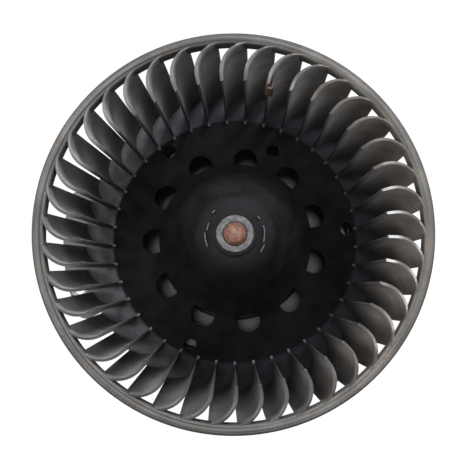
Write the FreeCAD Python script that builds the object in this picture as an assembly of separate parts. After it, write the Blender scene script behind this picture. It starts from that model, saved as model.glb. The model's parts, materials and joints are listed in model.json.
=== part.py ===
import FreeCAD, Part
import math
import os

# Car cabin blower: a squirrel-cage fan wheel on the shaft of a two-pole brushed motor.
# The motor hangs in a moulded flange and nests under the wheel's bell-shaped hub.
# Lengths are in millimetres. +Z runs along the shaft towards the wheel's open side,
# and Z = 0 is the flange's mating face. Angles turn anticlockwise from +X, seen from +Z.

# Corners: those under the smallest round are bevelled, by a share of their radius
smallest_round = 3.0
bevel_share = 0.7

# Fan wheel: ring, blades and hub
wheel_d = 136.0
ring_height = 5.8
ring_wall = 3.8
ring_ridge_inset = 1.4
ring_ridge_height = 0.9
ring_edge_bevel = 0.6
ring_lip = 0.35
wheel_rise = 67.0
wheel_gap = 2.1
wheel_edge_inset = 3.1

blade_count = 41
blade_phase = 85.5
blade_depth = 16.3
blade_curve_r = 9.2
blade_t = 1.35
blade_tip_t = 0.85
blade_drop = 0.45
blade_foot_reach = 1.7
blade_foot_h = 2.8

hub_wall = 1.8
hub_skirt_deg = 33.0
hub_can_margin = 1.0
hub_foot_round = 18.0
hub_foot_flats = 3
floor_step = 0.45
floor_step_inset = 1.1
crown_r = 12.5
crown_round = 5.0
crown_flats = 4
crown_drop = 9.4
crown_step = 0.5
crown_disc_r = 10.1
sleeve_r = 9.3
hub_rib_count = 6
hub_rib_t = 1.6
hub_rib_lift = 2.0
hub_rib_rise = 6.0
hub_rib_foot = 6.0
hub_rib_drop = 2.3
hub_rib_phase = 15.0

vent_count = 11
vent_d = 9.3
vent_offset = 3.2
vent_phase = 83.0
tooling_hole_d = 5.2
tooling_hole_inset = 4.7
tooling_hole_phase = 6.5
key_hole_inset = 11.3
key_hole_angle = 67.6

# Metal bush, shaft and balance clip
bush_d = 13.2
bush_length = 19.0
bush_groove_depth = 0.8
bush_groove_width = 4.0
bush_proud = 0.6
bush_chamfer = 0.5
shaft_d = 8.0
shaft_proud = 1.4
shaft_chamfer = 1.0
shaft_dome = 0.35
shaft_core_d = 9.2
shaft_fit = 0.02
clip_blade = 1
clip_height = 10.0
clip_depth = 5.0
clip_t = 0.7
clip_bend_share = 0.7
clip_drop = 3.0
clip_gap = 0.12

# Mounting flange
flange_t = 3.2
flange_rim_w = 8.0
flange_ear_reach = 7.3
flange_ear_deg = 24.0
flange_lobe_deg = 45.6
flange_lobe_angle = 184.3
flange_bolt_margin = 4.3
flange_bolt_d = 5.5
flange_bolt_phase = 196.0
sleeve_wall = 0.9
ear_round = 4.0
well_wall = 2.2
well_floor_z = -8.0
well_floor_t = 2.6
collar_wall = 2.0
collar_depth = 4.6
flange_rib_count = 6
flange_rib_t = 1.8
flange_rib_depth = 2.4
flange_rib_phase = 34.0

# Motor bracket, rubber isolators and seal
bracket_t = 1.6
bracket_band_share = 0.53
bracket_ring_w = 3.0
bracket_ear_w = 14.0
bracket_phase = 4.0
isolator_offset = 9.8
isolator_r = 6.3
isolator_groove_r = 4.4
isolator_top = 3.0
isolator_bottom = 2.8
bracket_screw_d = 5.0
bracket_screw_head_r = 6.0
bracket_screw_head_t = 2.4
bracket_boss_r = 5.2
bracket_boss_h = 8.0
bracket_boss_gap = 0.6
seal_w = 5.2
seal_h = 3.6
seal_drop = 0.6
seat_gap = 0.05

# Motor can and magnets
can_d = 58.0
can_wall = 1.8
can_below_hub = 6.5
can_end_t = 1.6
can_corner = 4.0
can_length = 68.6
can_window_w = 9.0
can_window_h = 8.0
can_vent_count = 6
can_vent_d = 7.0
can_vent_r = 18.5
crimp_count = 4
crimp_w = 6.0
crimp_t = 1.3
crimp_reach = 2.2
magnet_t = 5.9
magnet_room = 32.6
magnet_deg = 142.0
magnet_top_gap = 6.0
air_gap = 0.6
magnet_spring_t = 0.6
magnet_spring_inset = 4.0
magnet_spring_leg = 4.0

# Bearings and their seats
bearing_ball_r = 8.0
bearing_length = 9.0
bearing_running_gap = 0.04
bearing_seat_gap = 0.06
bearing_nose_wall = 1.6
bearing_nose_hole_r = 5.0
bearing_end_gap = 0.3
retainer_t = 0.5
retainer_r = 11.5
retainer_finger_r = 7.25
retainer_slot_count = 6
retainer_slot_w = 1.4
washer_r = 6.4
washer_t = 1.0
end_play = 0.4

# Armature and commutator
armature_inset = 3.0
slot_count = 12
slot_mouth = 2.2
slot_width = 6.4
slot_foot_width = 3.0
slot_bottom_r = 9.6
tooth_tip_t = 1.3
insulator_t = 1.0
winding_gap = 0.15
winding_head_inset = 2.0
winding_head_h = 7.0
winding_head_bevel = 2.9
winding_scallop_r = 2.6
commutator_d = 23.0
commutator_lift = 0.9
commutator_nose = 1.5
bar_depth = 2.0
bar_slit = 0.7
bar_foot_gap = 0.6
riser_r = 13.4
riser_h = 2.2
commutator_hub_gap = 0.3

# Brushes, their holders and the card that carries them
brush_w = 6.0
brush_h = 7.0
brush_length = 8.0
brush_face_gap = 0.3
brush_side_gap = 0.1
brush_travel = 3.0
holder_wall = 0.8
holder_stand_off = 2.1
holder_slot_w = 1.8
spring_wire = 0.6
spring_coil_r = 2.2
spring_turns = 4
spring_slack = 0.4
card_t = 2.0
card_stand_off = 2.7
card_fit = 0.1
end_plate_t = 1.8
end_vent_d = 6.5
end_vent_r = 20.5
end_vent_angles = (28.0, 56.0, -56.0, -28.0)
choke_rod_r = 1.6
choke_length = 12.0
choke_coil_r = 3.0
choke_coil_length = 9.0
choke_turns = 8
choke_wire = 0.7
choke_pitch_r = 20.0
choke_angle = 141.0
suppressor_w = 8.0
suppressor_t = 3.4
suppressor_h = 8.5
suppressor_r = 19.5

# Terminals, rear cover and connector
terminal_w = 5.0
terminal_t = 0.8
terminal_pitch = 8.6
terminal_leg_r = 21.5
terminal_foot = 3.0
terminal_tip_inset = 3.0
terminal_slot_gap = 0.15
terminal_clear = 1.2
cover_wall = 2.0
cover_gap = 0.3
cover_overlap = 9.0
cover_floor_gap = 4.7
cover_foot_round = 2.5
cover_slot_count = 9
cover_slot_w = 3.0
cover_slot_inner_r = 12.5
cover_slot_outer_r = 25.0
cover_boss_r = 3.6
cover_boss_pitch_r = 20.5
cover_screw_d = 3.0
cover_screw_head_r = 2.8
cover_screw_head_t = 1.8
plug_depth = 14.0
plug_cavity_w = 17.0
plug_cavity_h = 10.8
plug_wall = 1.6
plug_lift = 1.0
plug_key_w = 3.0
plug_key_t = 1.0

# Levels and radii that follow from the sizes above
wheel_r = wheel_d / 2
ring_inner_r = wheel_r - ring_wall
blade_inner_r = wheel_r - blade_depth
can_r = can_d / 2
hub_foot_r = can_r + hub_can_margin
vent_pitch_r = hub_foot_r + vent_offset
tooling_hole_r = blade_inner_r - tooling_hole_inset
key_hole_r = blade_inner_r - key_hole_inset
floor_step_r = blade_inner_r - floor_step_inset
edge_r = wheel_r - wheel_edge_inset
skirt_slope = math.tan(math.radians(hub_skirt_deg))
skirt_wall_z = hub_wall / math.cos(math.radians(hub_skirt_deg))
edge_z = flange_t + wheel_gap + skirt_wall_z
ring_top_z = edge_z + wheel_rise
crown_z = ring_top_z - crown_drop
bell_z = crown_z - crown_step
foot_z = edge_z + (edge_r - hub_foot_r) * skirt_slope
bush_r = bush_d / 2
bush_top_z = crown_z + bush_proud
bush_bottom_z = bush_top_z - bush_length
shaft_r = shaft_d / 2
shaft_core_r = shaft_core_d / 2
shaft_top_z = bush_top_z + shaft_proud
can_inner_r = can_r - can_wall
can_top_z = foot_z - can_below_hub
can_bottom_z = can_top_z - can_length
magnet_outer_r = can_inner_r - seat_gap
magnet_inner_r = magnet_outer_r - magnet_t
magnet_length = can_length - magnet_room
magnet_spring_length = magnet_length - 2 * magnet_spring_inset
armature_r = magnet_inner_r - air_gap
armature_length = magnet_length - 2 * armature_inset
magnet_mid_z = can_top_z - can_end_t - magnet_top_gap - magnet_length / 2
armature_top_z = magnet_mid_z + armature_length / 2
armature_bottom_z = magnet_mid_z - armature_length / 2
winding_head_r = armature_r - winding_head_inset
winding_low_z = armature_bottom_z - insulator_t - winding_head_h
end_plate_bottom_z = can_bottom_z + crimp_t
end_plate_top_z = end_plate_bottom_z + end_plate_t
card_top_z = end_plate_top_z + card_t
card_r = can_r - can_wall / 2 - card_fit
commutator_r = commutator_d / 2
commutator_bottom_z = end_plate_top_z + commutator_lift
commutator_nose_z = winding_low_z - commutator_hub_gap
riser_top_z = commutator_nose_z - commutator_nose
commutator_top_z = riser_top_z - riser_h
bearing_seat_r = bearing_ball_r + bearing_seat_gap
upper_bearing_z = can_top_z + bearing_length / 2
upper_nose_z = upper_bearing_z + bearing_length / 2 + bearing_end_gap + bearing_nose_wall
lower_bearing_z = commutator_bottom_z - washer_t - end_play - bearing_length / 2
lower_nose_z = lower_bearing_z - bearing_length / 2 - bearing_end_gap - bearing_nose_wall
shaft_bottom_z = lower_bearing_z - bearing_length / 2
brush_z = card_top_z + holder_wall + brush_side_gap + brush_h / 2
brush_inner_r = commutator_r + brush_face_gap
brush_outer_r = brush_inner_r + brush_length
spring_solid = spring_turns * spring_wire + spring_slack
holder_inner_r = commutator_r + holder_stand_off
holder_back_r = brush_outer_r + brush_travel + spring_solid + holder_wall
card_bore_r = commutator_r + card_stand_off
cover_inner_r = can_r + cover_gap
cover_r = cover_inner_r + cover_wall
cover_top_z = can_bottom_z + cover_overlap
cover_bottom_z = lower_nose_z - cover_floor_gap - cover_wall
plug_z = cover_bottom_z + plug_lift + plug_wall + plug_cavity_h / 2
well_opening_r = can_r + seal_w
isolator_pitch_r = well_opening_r + isolator_offset
well_r = isolator_pitch_r + bracket_boss_r + bracket_boss_gap + well_wall
flange_r = well_r + flange_rim_w
flange_ear_r = wheel_r + flange_ear_reach
flange_bolt_r = flange_ear_r - flange_bolt_margin
bracket_z = well_floor_z - well_floor_t - isolator_top
bracket_bottom_z = bracket_z - bracket_t
bracket_band_depth = (bracket_bottom_z - cover_top_z) * bracket_band_share
isolator_bottom_z = bracket_bottom_z - isolator_bottom
plug_mouth_x = -(cover_r + plug_depth)


def rounded_outline(points, radii=None):
    """A closed wire through the points, each corner rounded by its radius."""
    radii = radii or [0.0] * len(points)
    corners = [FreeCAD.Vector(p[0], p[1], 0) for p in points]
    stops = []
    arcs = []
    for i, corner in enumerate(corners):
        back = (corners[i - 1] - corner).normalize()
        ahead = (corners[(i + 1) % len(corners)] - corner).normalize()
        if radii[i] <= 0:
            stops.append((corner, corner))
            arcs.append(None)
            continue
        half = back.getAngle(ahead) / 2
        run = radii[i] / math.tan(half)
        bisector = (back + ahead).normalize()
        middle = corner + bisector * (radii[i] / math.sin(half) - radii[i])
        stops.append((corner + back * run, corner + ahead * run))
        arcs.append(middle)
    edges = []
    for i, middle in enumerate(arcs):
        if middle is not None:
            edges.append(Part.Arc(stops[i][0], middle, stops[i][1]).toShape())
        leaving = stops[i][1]
        arriving = stops[(i + 1) % len(stops)][0]
        if leaving.distanceToPoint(arriving) > 1e-6:
            edges.append(Part.makeLine(leaving, arriving))
    return Part.Wire(Part.sortEdges(edges)[0])


def prism(points, z0, z1, radii=None):
    """The outline in the XY plane, raised from z0 to z1."""
    face = Part.Face(rounded_outline(points, radii))
    face.translate(FreeCAD.Vector(0, 0, z0))
    return face.extrude(FreeCAD.Vector(0, 0, z1 - z0))


def turned(points, corners=None):
    """A solid of revolution about Z from (radius, height) points.

    Large corners are rounded. Small ones are bevelled, as on a simple turned part.
    """
    corners = corners or [0.0] * len(points)
    outline = []
    radii = []
    for i, (point, corner) in enumerate(zip(points, corners)):
        if corner <= 0 or corner >= smallest_round:
            outline.append(point)
            radii.append(corner)
            continue
        here = FreeCAD.Vector(point[0], point[1], 0)
        for other in (points[i - 1], points[(i + 1) % len(points)]):
            way = (FreeCAD.Vector(other[0], other[1], 0) - here).normalize()
            cut = here + way * (corner * bevel_share)
            outline.append((cut.x, cut.y))
            radii.append(0.0)
    face = Part.Face(rounded_outline(outline, radii))
    face.rotate(FreeCAD.Vector(0, 0, 0), FreeCAD.Vector(1, 0, 0), 90)
    return face.revolve(FreeCAD.Vector(0, 0, 0), FreeCAD.Vector(0, 0, 1), 360)


def disc(r, z0, z1, x=0.0, y=0.0):
    """A round bar along Z."""
    return Part.makeCylinder(r, z1 - z0, FreeCAD.Vector(x, y, z0))


def tube(outer, inner, z0, z1, x=0.0, y=0.0):
    """A round tube along Z."""
    return disc(outer, z0, z1, x, y).cut(disc(inner, z0 - 1, z1 + 1, x, y))


def block(x0, x1, y0, y1, z0, z1):
    """A rectangular block between two corners."""
    return Part.makeBox(x1 - x0, y1 - y0, z1 - z0, FreeCAD.Vector(x0, y0, z0))


def spun(shape, degrees):
    """A copy of the shape turned about Z."""
    copy = shape.copy()
    copy.rotate(FreeCAD.Vector(0, 0, 0), FreeCAD.Vector(0, 0, 1), degrees)
    return copy


def ring_of(shape, count, phase=0.0):
    """Copies of the shape, evenly spaced about Z, the first turned by the phase."""
    return [spun(shape, phase + 360.0 * i / count) for i in range(count)]


def bore_ring(count, radius, pitch_r, z0, z1, phase=0.0):
    """Round bars along Z on a pitch circle, to cut holes with."""
    return ring_of(disc(radius, z0, z1, pitch_r), count, phase)


def mitre(before, corner, after, distance):
    """The corner of a path after the path is moved sideways, to the right of its run."""
    first = FreeCAD.Vector(corner[0] - before[0], corner[1] - before[1], 0).normalize()
    second = FreeCAD.Vector(after[0] - corner[0], after[1] - corner[1], 0).normalize()
    n1 = FreeCAD.Vector(first.y, -first.x, 0)
    n2 = FreeCAD.Vector(second.y, -second.x, 0)
    shift = (n1 + n2) * (distance / (1 + n1.dot(n2)))
    return (corner[0] + shift.x, corner[1] + shift.y)


def bend(before, corner, after, radius, flats):
    """Points along a rounded corner, for a gentle curve that is made of a few flats."""
    here = FreeCAD.Vector(corner[0], corner[1], 0)
    back = (FreeCAD.Vector(before[0], before[1], 0) - here).normalize()
    ahead = (FreeCAD.Vector(after[0], after[1], 0) - here).normalize()
    half = back.getAngle(ahead) / 2
    centre = here + (back + ahead).normalize() * (radius / math.sin(half))
    run = radius / math.tan(half)
    first = here + back * run - centre
    last = here + ahead * run - centre
    turn = math.atan2(first.cross(last).z, first.dot(last))
    points = []
    for i in range(flats + 1):
        c = math.cos(turn * i / flats)
        s = math.sin(turn * i / flats)
        points.append((centre.x + first.x * c - first.y * s, centre.y + first.x * s + first.y * c))
    return points


def save(name, shape):
    """Writes one node's solids to its STEP file."""
    solids = shape.Solids
    result = solids[0] if len(solids) == 1 else Part.makeCompound(solids)
    if not result.isValid():
        raise ValueError(name + " is not a valid solid")
    result.exportStep("parts/" + name + ".step")
    print(name, len(solids), "solid(s),", round(result.Volume, 1), "mm3")


# Fan wheel


def hub_path():
    """The hub's upper surface from the bush out to the edge: crown, steep cone, skirt."""
    middle = (bush_r, bell_z)
    knee = (crown_r, bell_z)
    foot = (hub_foot_r, foot_z)
    edge = (edge_r, edge_z)
    crown_bend = bend(middle, knee, foot, crown_round, crown_flats)
    foot_bend = bend(knee, foot, edge, hub_foot_round, hub_foot_flats)
    return [middle] + crown_bend + foot_bend + [edge]


def hub_underside():
    """The same path moved inwards by the wall, so the hub keeps one thickness."""
    top = hub_path()
    inner = [mitre(top[i - 1], top[i], top[i + 1], hub_wall) for i in range(1, len(top) - 1)]
    return [(bush_r, bell_z - hub_wall)] + inner + [(edge_r, edge_z - skirt_wall_z)]


def blade_floor():
    """The end of the upper surface: a small step up to the floor between the blades."""
    low_z = skirt_height(floor_step_r)
    return [(floor_step_r, low_z), (floor_step_r, low_z + floor_step),
            (edge_r, edge_z + floor_step)]


def hub_shell():
    """The bell with its raised disc, inner sleeve and stiffening ribs."""
    bell = turned(hub_path()[:-1] + blade_floor() + hub_underside()[::-1])
    crown = tube(crown_disc_r, bush_r, bell_z - hub_wall / 2, crown_z)
    sleeve = tube(sleeve_r, bush_r, bush_bottom_z, bell_z - hub_wall / 2)
    ribs = hub_ribs()
    holes = bore_ring(vent_count, vent_d / 2, vent_pitch_r, edge_z, bell_z, vent_phase)
    tooling = disc(tooling_hole_d / 2, 0, bell_z, tooling_hole_r)
    holes += ring_of(tooling, 3, tooling_hole_phase)
    holes.append(spun(disc(tooling_hole_d / 2, 0, bell_z, key_hole_r), key_hole_angle))
    return bell.cut(Part.makeCompound(holes)).fuse([crown, sleeve] + ribs)


def hub_ribs():
    """Webs between the sleeve and the inside of the cone, under the crown."""
    knee, foot = hub_underside()[crown_flats + 1:crown_flats + 3]
    slope = (foot[0] - knee[0]) / (knee[1] - foot[1])
    low_z = bush_bottom_z + hub_rib_lift
    high_z = knee[1] - hub_rib_drop
    sunk = hub_wall / 2
    low_r = knee[0] + (knee[1] - low_z) * slope + sunk
    high_r = knee[0] + (knee[1] - high_z) * slope + sunk
    web = [(sleeve_r - sunk, low_z + hub_rib_rise), (low_r - hub_rib_foot, low_z),
           (low_r, low_z), (high_r, high_z), (sleeve_r - sunk, high_z)]
    face = Part.Face(rounded_outline(web))
    face.rotate(FreeCAD.Vector(0, 0, 0), FreeCAD.Vector(1, 0, 0), 90)
    face.translate(FreeCAD.Vector(0, hub_rib_t / 2, 0))
    return ring_of(face.extrude(FreeCAD.Vector(0, -hub_rib_t, 0)), hub_rib_count, hub_rib_phase)


def blade_face(z):
    """One blade's outline at a height: a straight root and a quarter turn to the ring."""
    half = blade_t / 2
    bend_y = math.sqrt(edge_r ** 2 - blade_curve_r ** 2) - blade_curve_r
    rise = blade_curve_r + half - blade_tip_t
    centre_x = (blade_curve_r ** 2 + rise ** 2 - half ** 2) / (2 * (blade_curve_r - half))
    inside_r = centre_x - half
    sweep = math.asin(min(1.0, rise / inside_r)) / 2
    outer_mid = (blade_curve_r + half) * math.sqrt(0.5)

    def at(x, y):
        return FreeCAD.Vector(x, y, z)

    back_start = at(-half, bend_y)
    back_end = at(blade_curve_r, bend_y + blade_curve_r + half)
    back_mid = at(blade_curve_r - outer_mid, bend_y + outer_mid)
    front_end = at(blade_curve_r, bend_y + rise)
    front_start = at(half, bend_y)
    front_mid = at(centre_x - inside_r * math.cos(sweep), bend_y + inside_r * math.sin(sweep))
    edges = [
        Part.makeLine(at(-half, blade_inner_r), back_start),
        Part.Arc(back_start, back_mid, back_end).toShape(),
        Part.makeLine(back_end, front_end),
        Part.Arc(front_end, front_mid, front_start).toShape(),
        Part.makeLine(front_start, at(half, blade_inner_r)),
        Part.makeLine(at(half, blade_inner_r), at(-half, blade_inner_r)),
    ]
    return Part.Face(Part.Wire(edges))


def skirt_height(radius):
    """The height of the hub's sloping skirt at a radius."""
    return edge_z + (edge_r - radius) * skirt_slope


def blade_foot(sunk):
    """The small gusset that widens a blade's inner edge where it meets the skirt."""
    inner = blade_inner_r - blade_foot_reach
    outer = blade_inner_r + blade_foot_reach
    top_z = skirt_height(blade_inner_r) + blade_foot_h
    web = [(inner, skirt_height(inner) - sunk), (outer, skirt_height(outer) - sunk),
           (outer, top_z), (blade_inner_r, top_z), (inner, skirt_height(inner) + sunk)]
    face = Part.Face(rounded_outline(web))
    face.rotate(FreeCAD.Vector(0, 0, 0), FreeCAD.Vector(1, 0, 0), 90)
    face.translate(FreeCAD.Vector(0, blade_t / 2, 0))
    return spun(face.extrude(FreeCAD.Vector(0, -blade_t, 0)), 90)


def fan_blade():
    """A blade, trimmed to the sloping skirt below and to the wheel's edge outside."""
    top_z = ring_top_z - blade_drop
    low_z = edge_z - hub_wall
    blade = blade_face(low_z).extrude(FreeCAD.Vector(0, 0, top_z - low_z))
    inside_r = blade_inner_r - 6
    sunk = hub_wall / 2
    room = turned([
        (inside_r, skirt_height(inside_r) - sunk), (edge_r, edge_z - sunk),
        (edge_r, top_z + 1), (inside_r, top_z + 1)])
    return blade.common(room).fuse(blade_foot(sunk))


def top_ring():
    """The ring that ties the blades' tips, with a low ridge round its face."""
    shoulder_z = ring_top_z - ring_ridge_height
    ridge_r = wheel_r - ring_ridge_inset
    bottom_z = ring_top_z - ring_height
    outline = [
        (ring_inner_r, bottom_z), (wheel_r, bottom_z), (wheel_r, shoulder_z),
        (ridge_r, ring_top_z), (ring_inner_r + ring_lip, shoulder_z),
        (ring_inner_r, shoulder_z - ring_lip)]
    return turned(outline, [0, 0, ring_edge_bevel, ring_edge_bevel, 0, 0])


def fan_wheel():
    """Ring, blades and hub in one moulding, round the bush that it is moulded on."""
    blades = ring_of(fan_blade(), blade_count, blade_phase - 90.0)
    wheel = hub_shell().fuse(blades + [top_ring()])
    return wheel.cut(wheel_bush())


def wheel_bush():
    """The bush with the groove that keys it into the moulding."""
    middle = (bush_top_z + bush_bottom_z) / 2
    half = bush_groove_width / 2
    inner = shaft_r + shaft_fit
    groove = bush_r - bush_groove_depth
    outline = [
        (inner, bush_bottom_z), (bush_r, bush_bottom_z), (bush_r, middle - half),
        (groove, middle - half), (groove, middle + half), (bush_r, middle + half),
        (bush_r, bush_top_z), (inner, bush_top_z)]
    radii = [0, 0, 0, 0, 0, 0, bush_chamfer, bush_chamfer]
    return turned(outline, radii)


def balance_clip():
    """A folded strip pushed over one blade's inner edge."""
    top_z = ring_top_z - clip_drop
    root = blade_inner_r - clip_gap
    half = blade_t / 2 + clip_gap
    outer = half + clip_t
    mouth = root + clip_depth
    outline = [
        (-outer, root - clip_t), (outer, root - clip_t), (outer, mouth), (half, mouth),
        (half, root), (-half, root), (-half, mouth), (-outer, mouth)]
    bend_r = outer * clip_bend_share
    inner_bend_r = bend_r - clip_t
    radii = [bend_r, bend_r, 0, 0, inner_bend_r, inner_bend_r, 0, 0]
    clip = prism(outline, top_z - clip_height, top_z, radii)
    return spun(clip, blade_phase - 90.0 - clip_blade * 360.0 / blade_count)


# Shaft and armature


def motor_shaft():
    """A stepped shaft with a domed, chamfered end that shows in the wheel's bush."""
    step_top = can_top_z - end_play - washer_t
    step_bottom = commutator_bottom_z
    c = shaft_chamfer
    outline = [
        (0, shaft_bottom_z), (shaft_r - c / 2, shaft_bottom_z),
        (shaft_r, shaft_bottom_z + c / 2), (shaft_r, step_bottom),
        (shaft_core_r, step_bottom), (shaft_core_r, step_top), (shaft_r, step_top),
        (shaft_r, shaft_top_z - c), (shaft_r - c, shaft_top_z - shaft_dome),
        (0, shaft_top_z)]
    return turned(outline)


def slot_cutter(gap, z0, z1):
    """One winding slot, wider at its top than at its foot, with a narrow mouth."""
    top_r = armature_r - tooth_tip_t
    body = prism([
        (slot_bottom_r + gap, -slot_foot_width / 2 + gap), (top_r - gap, -slot_width / 2 + gap),
        (top_r - gap, slot_width / 2 - gap), (slot_bottom_r + gap, slot_foot_width / 2 - gap)],
        z0, z1)
    mouth = block(top_r - 1, armature_r + 1, -slot_mouth / 2, slot_mouth / 2, z0, z1)
    return body.fuse(mouth) if gap == 0 else body


def lamination(radius, z0, z1):
    """A slotted disc on the shaft, used for the core and for its end insulators."""
    slots = ring_of(slot_cutter(0, z0 - 1, z1 + 1), slot_count)
    plain = tube(radius, shaft_core_r + shaft_fit, z0, z1)
    return plain.cut(Part.makeCompound(slots))


def armature_core():
    """The stack of slotted laminations."""
    return lamination(armature_r, armature_bottom_z, armature_top_z)


def armature_insulators():
    """The insulating discs on both ends of the stack."""
    radius = armature_r - 0.2
    upper = lamination(radius, armature_top_z, armature_top_z + insulator_t)
    lower = lamination(radius, armature_bottom_z - insulator_t, armature_bottom_z)
    return Part.makeCompound([upper, lower])


def winding_head(z0, z1, outer_round_up):
    """The rounded bundle of wire that crosses from slot to slot beyond the stack."""
    inner = shaft_core_r + 1.4
    big = winding_head_bevel
    corners = [0, 0, big, big / 2] if outer_round_up else [big / 2, big, 0, 0]
    head = turned([(inner, z0), (winding_head_r, z0), (winding_head_r, z1), (inner, z1)],
                  corners)
    scallop_pitch = winding_head_r + winding_scallop_r * 0.6
    scallops = bore_ring(slot_count, winding_scallop_r, scallop_pitch, z0 - 1, z1 + 1,
                         180.0 / slot_count)
    return head.cut(Part.makeCompound(scallops))


def armature_winding():
    """Copper in the slots and in the two heads, wound as one."""
    top = armature_top_z + insulator_t
    bottom = armature_bottom_z - insulator_t
    upper = winding_head(top, top + winding_head_h, True)
    lower = winding_head(winding_low_z, bottom, False)
    bars = ring_of(slot_cutter(winding_gap, bottom - 1, top + 1), slot_count)
    return upper.fuse([lower] + bars)


def commutator_hub():
    """The moulded carrier that the copper bars are anchored in."""
    inner = shaft_core_r + shaft_fit
    bar_foot = commutator_r - bar_depth
    return turned([
        (inner, commutator_bottom_z), (bar_foot, commutator_bottom_z), (bar_foot, riser_top_z),
        (bar_foot - 1.2, commutator_nose_z), (inner, commutator_nose_z)])


def commutator_bars():
    """Copper segments with a riser at their winding end, parted by slits."""
    bar_foot = commutator_r - bar_depth
    low = commutator_bottom_z + bar_foot_gap
    band = turned([
        (bar_foot, low), (commutator_r, low), (commutator_r, commutator_top_z),
        (riser_r, commutator_top_z), (riser_r, riser_top_z), (bar_foot, riser_top_z)])
    slit = block(bar_foot - 1, riser_r + 1, -bar_slit / 2, bar_slit / 2,
                 commutator_bottom_z, riser_top_z + 1)
    return band.cut(Part.makeCompound(ring_of(slit, slot_count, 180.0 / slot_count)))


def thrust_washer(z0):
    """A washer that takes the shaft's end play."""
    return tube(washer_r, shaft_r + shaft_fit, z0, z0 + washer_t)


# Can, magnets and bearings


def motor_can():
    """The drawn steel cup: end wall with a bearing nose, windows, and crimps below."""
    nose_r = bearing_seat_r + bearing_nose_wall
    inner_top = can_top_z - can_end_t
    rim_r = card_r + card_fit
    seat_top = upper_nose_z - bearing_nose_wall
    body = turned([
        (bearing_nose_hole_r, upper_nose_z), (nose_r, upper_nose_z), (nose_r, can_top_z),
        (can_r, can_top_z), (can_r, can_bottom_z), (rim_r, can_bottom_z),
        (rim_r, card_top_z), (can_inner_r, card_top_z), (can_inner_r, inner_top),
        (bearing_seat_r, inner_top), (bearing_seat_r, seat_top),
        (bearing_nose_hole_r, seat_top)],
        [0, 1.5, 1.0, can_corner, 0, 0, 0, 0, can_corner - can_end_t, 0.3, 0.8, 0])
    cuts = bore_ring(can_vent_count, can_vent_d / 2, can_vent_r, inner_top - 1, can_top_z + 1)
    window = block(can_inner_r - 2, can_r + 2, -can_window_w / 2, can_window_w / 2,
                   cover_top_z + 2, cover_top_z + 2 + can_window_h)
    cuts += ring_of(window, 4, 45.0)
    lug = block(rim_r - crimp_reach, rim_r + 0.3, -crimp_w / 2, crimp_w / 2,
                can_bottom_z, end_plate_bottom_z)
    return body.cut(Part.makeCompound(cuts)).fuse(ring_of(lug, crimp_count, 45.0))


def magnet(angle):
    """A ferrite segment that lines a side of the can."""
    half = magnet_deg / 2
    z0 = magnet_mid_z - magnet_length / 2
    shell = Part.makeCylinder(magnet_outer_r, magnet_length, FreeCAD.Vector(0, 0, z0),
                              FreeCAD.Vector(0, 0, 1), magnet_deg)
    bore = disc(magnet_inner_r, z0 - 1, z0 + magnet_length + 1)
    return spun(shell.cut(bore), angle - half)


def magnet_springs():
    """Bent strips that push the two magnets apart, against the can."""
    z0 = magnet_mid_z - magnet_spring_length / 2
    z1 = z0 + magnet_spring_length
    gap = (180.0 - magnet_deg) / 2 - 0.5
    back = Part.makeCylinder(magnet_outer_r - 0.1, magnet_spring_length,
                             FreeCAD.Vector(0, 0, z0), FreeCAD.Vector(0, 0, 1), 2 * gap)
    inner = disc(magnet_outer_r - 0.1 - magnet_spring_t, z0 - 1, z1 + 1)
    back = spun(back.cut(inner), -gap)
    r1 = magnet_outer_r - 0.4
    r0 = r1 - magnet_spring_leg
    first = spun(block(r0, r1, 0, magnet_spring_t, z0, z1), -gap)
    second = spun(block(r0, r1, -magnet_spring_t, 0, z0, z1), gap)
    strip = back.fuse([first, second])
    return Part.makeCompound([spun(strip, 90.0), spun(strip, -90.0)])


def bearing(centre_z):
    """A self-aligning sintered bush: a ball cut flat at both ends, bored for the shaft."""
    ball = Part.makeSphere(bearing_ball_r, FreeCAD.Vector(0, 0, centre_z))
    half = bearing_length / 2
    slice_of = tube(bearing_ball_r + 1, shaft_r + bearing_running_gap,
                    centre_z - half, centre_z + half)
    return ball.common(slice_of)


def bearing_retainer(seat_z, centre_z):
    """A star spring on the wall round the seat, its fingers leaning on the ball."""
    side = 1.0 if centre_z > seat_z else -1.0
    ball = bearing_ball_r + seat_gap
    inner_r = retainer_finger_r - retainer_t
    tip_z = centre_z - side * math.sqrt(ball ** 2 - retainer_finger_r ** 2)
    inner_tip_z = centre_z - side * math.sqrt(ball ** 2 - inner_r ** 2)
    flat = seat_z - side * retainer_t
    mouth = bearing_seat_r - 0.2
    ring = turned([
        (retainer_finger_r, tip_z), (mouth, seat_z), (retainer_r, seat_z),
        (retainer_r, flat), (mouth - retainer_t, flat), (inner_r, inner_tip_z)])
    slot = block(0, mouth - 0.3, -retainer_slot_w / 2, retainer_slot_w / 2,
                 min(tip_z, flat) - 1, max(tip_z, flat) + 1)
    slots = ring_of(slot, retainer_slot_count)
    return ring.cut(Part.makeCompound(slots))


# Brush gear and end plate


def end_holes(z0, z1):
    """The cooling holes that run through the brush card and the end plate."""
    return [spun(disc(end_vent_d / 2, z0, z1, end_vent_r), a) for a in end_vent_angles]


def terminal_windows(extra, z0, z1):
    """Slots for the two terminal legs, wider than the strip by the given clearance."""
    slots = []
    for side in (-1, 1):
        middle = side * terminal_pitch / 2
        slots.append(block(
            -terminal_leg_r - terminal_t - extra, -terminal_leg_r + extra,
            middle - terminal_w / 2 - extra, middle + terminal_w / 2 + extra, z0, z1))
    return slots


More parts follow.
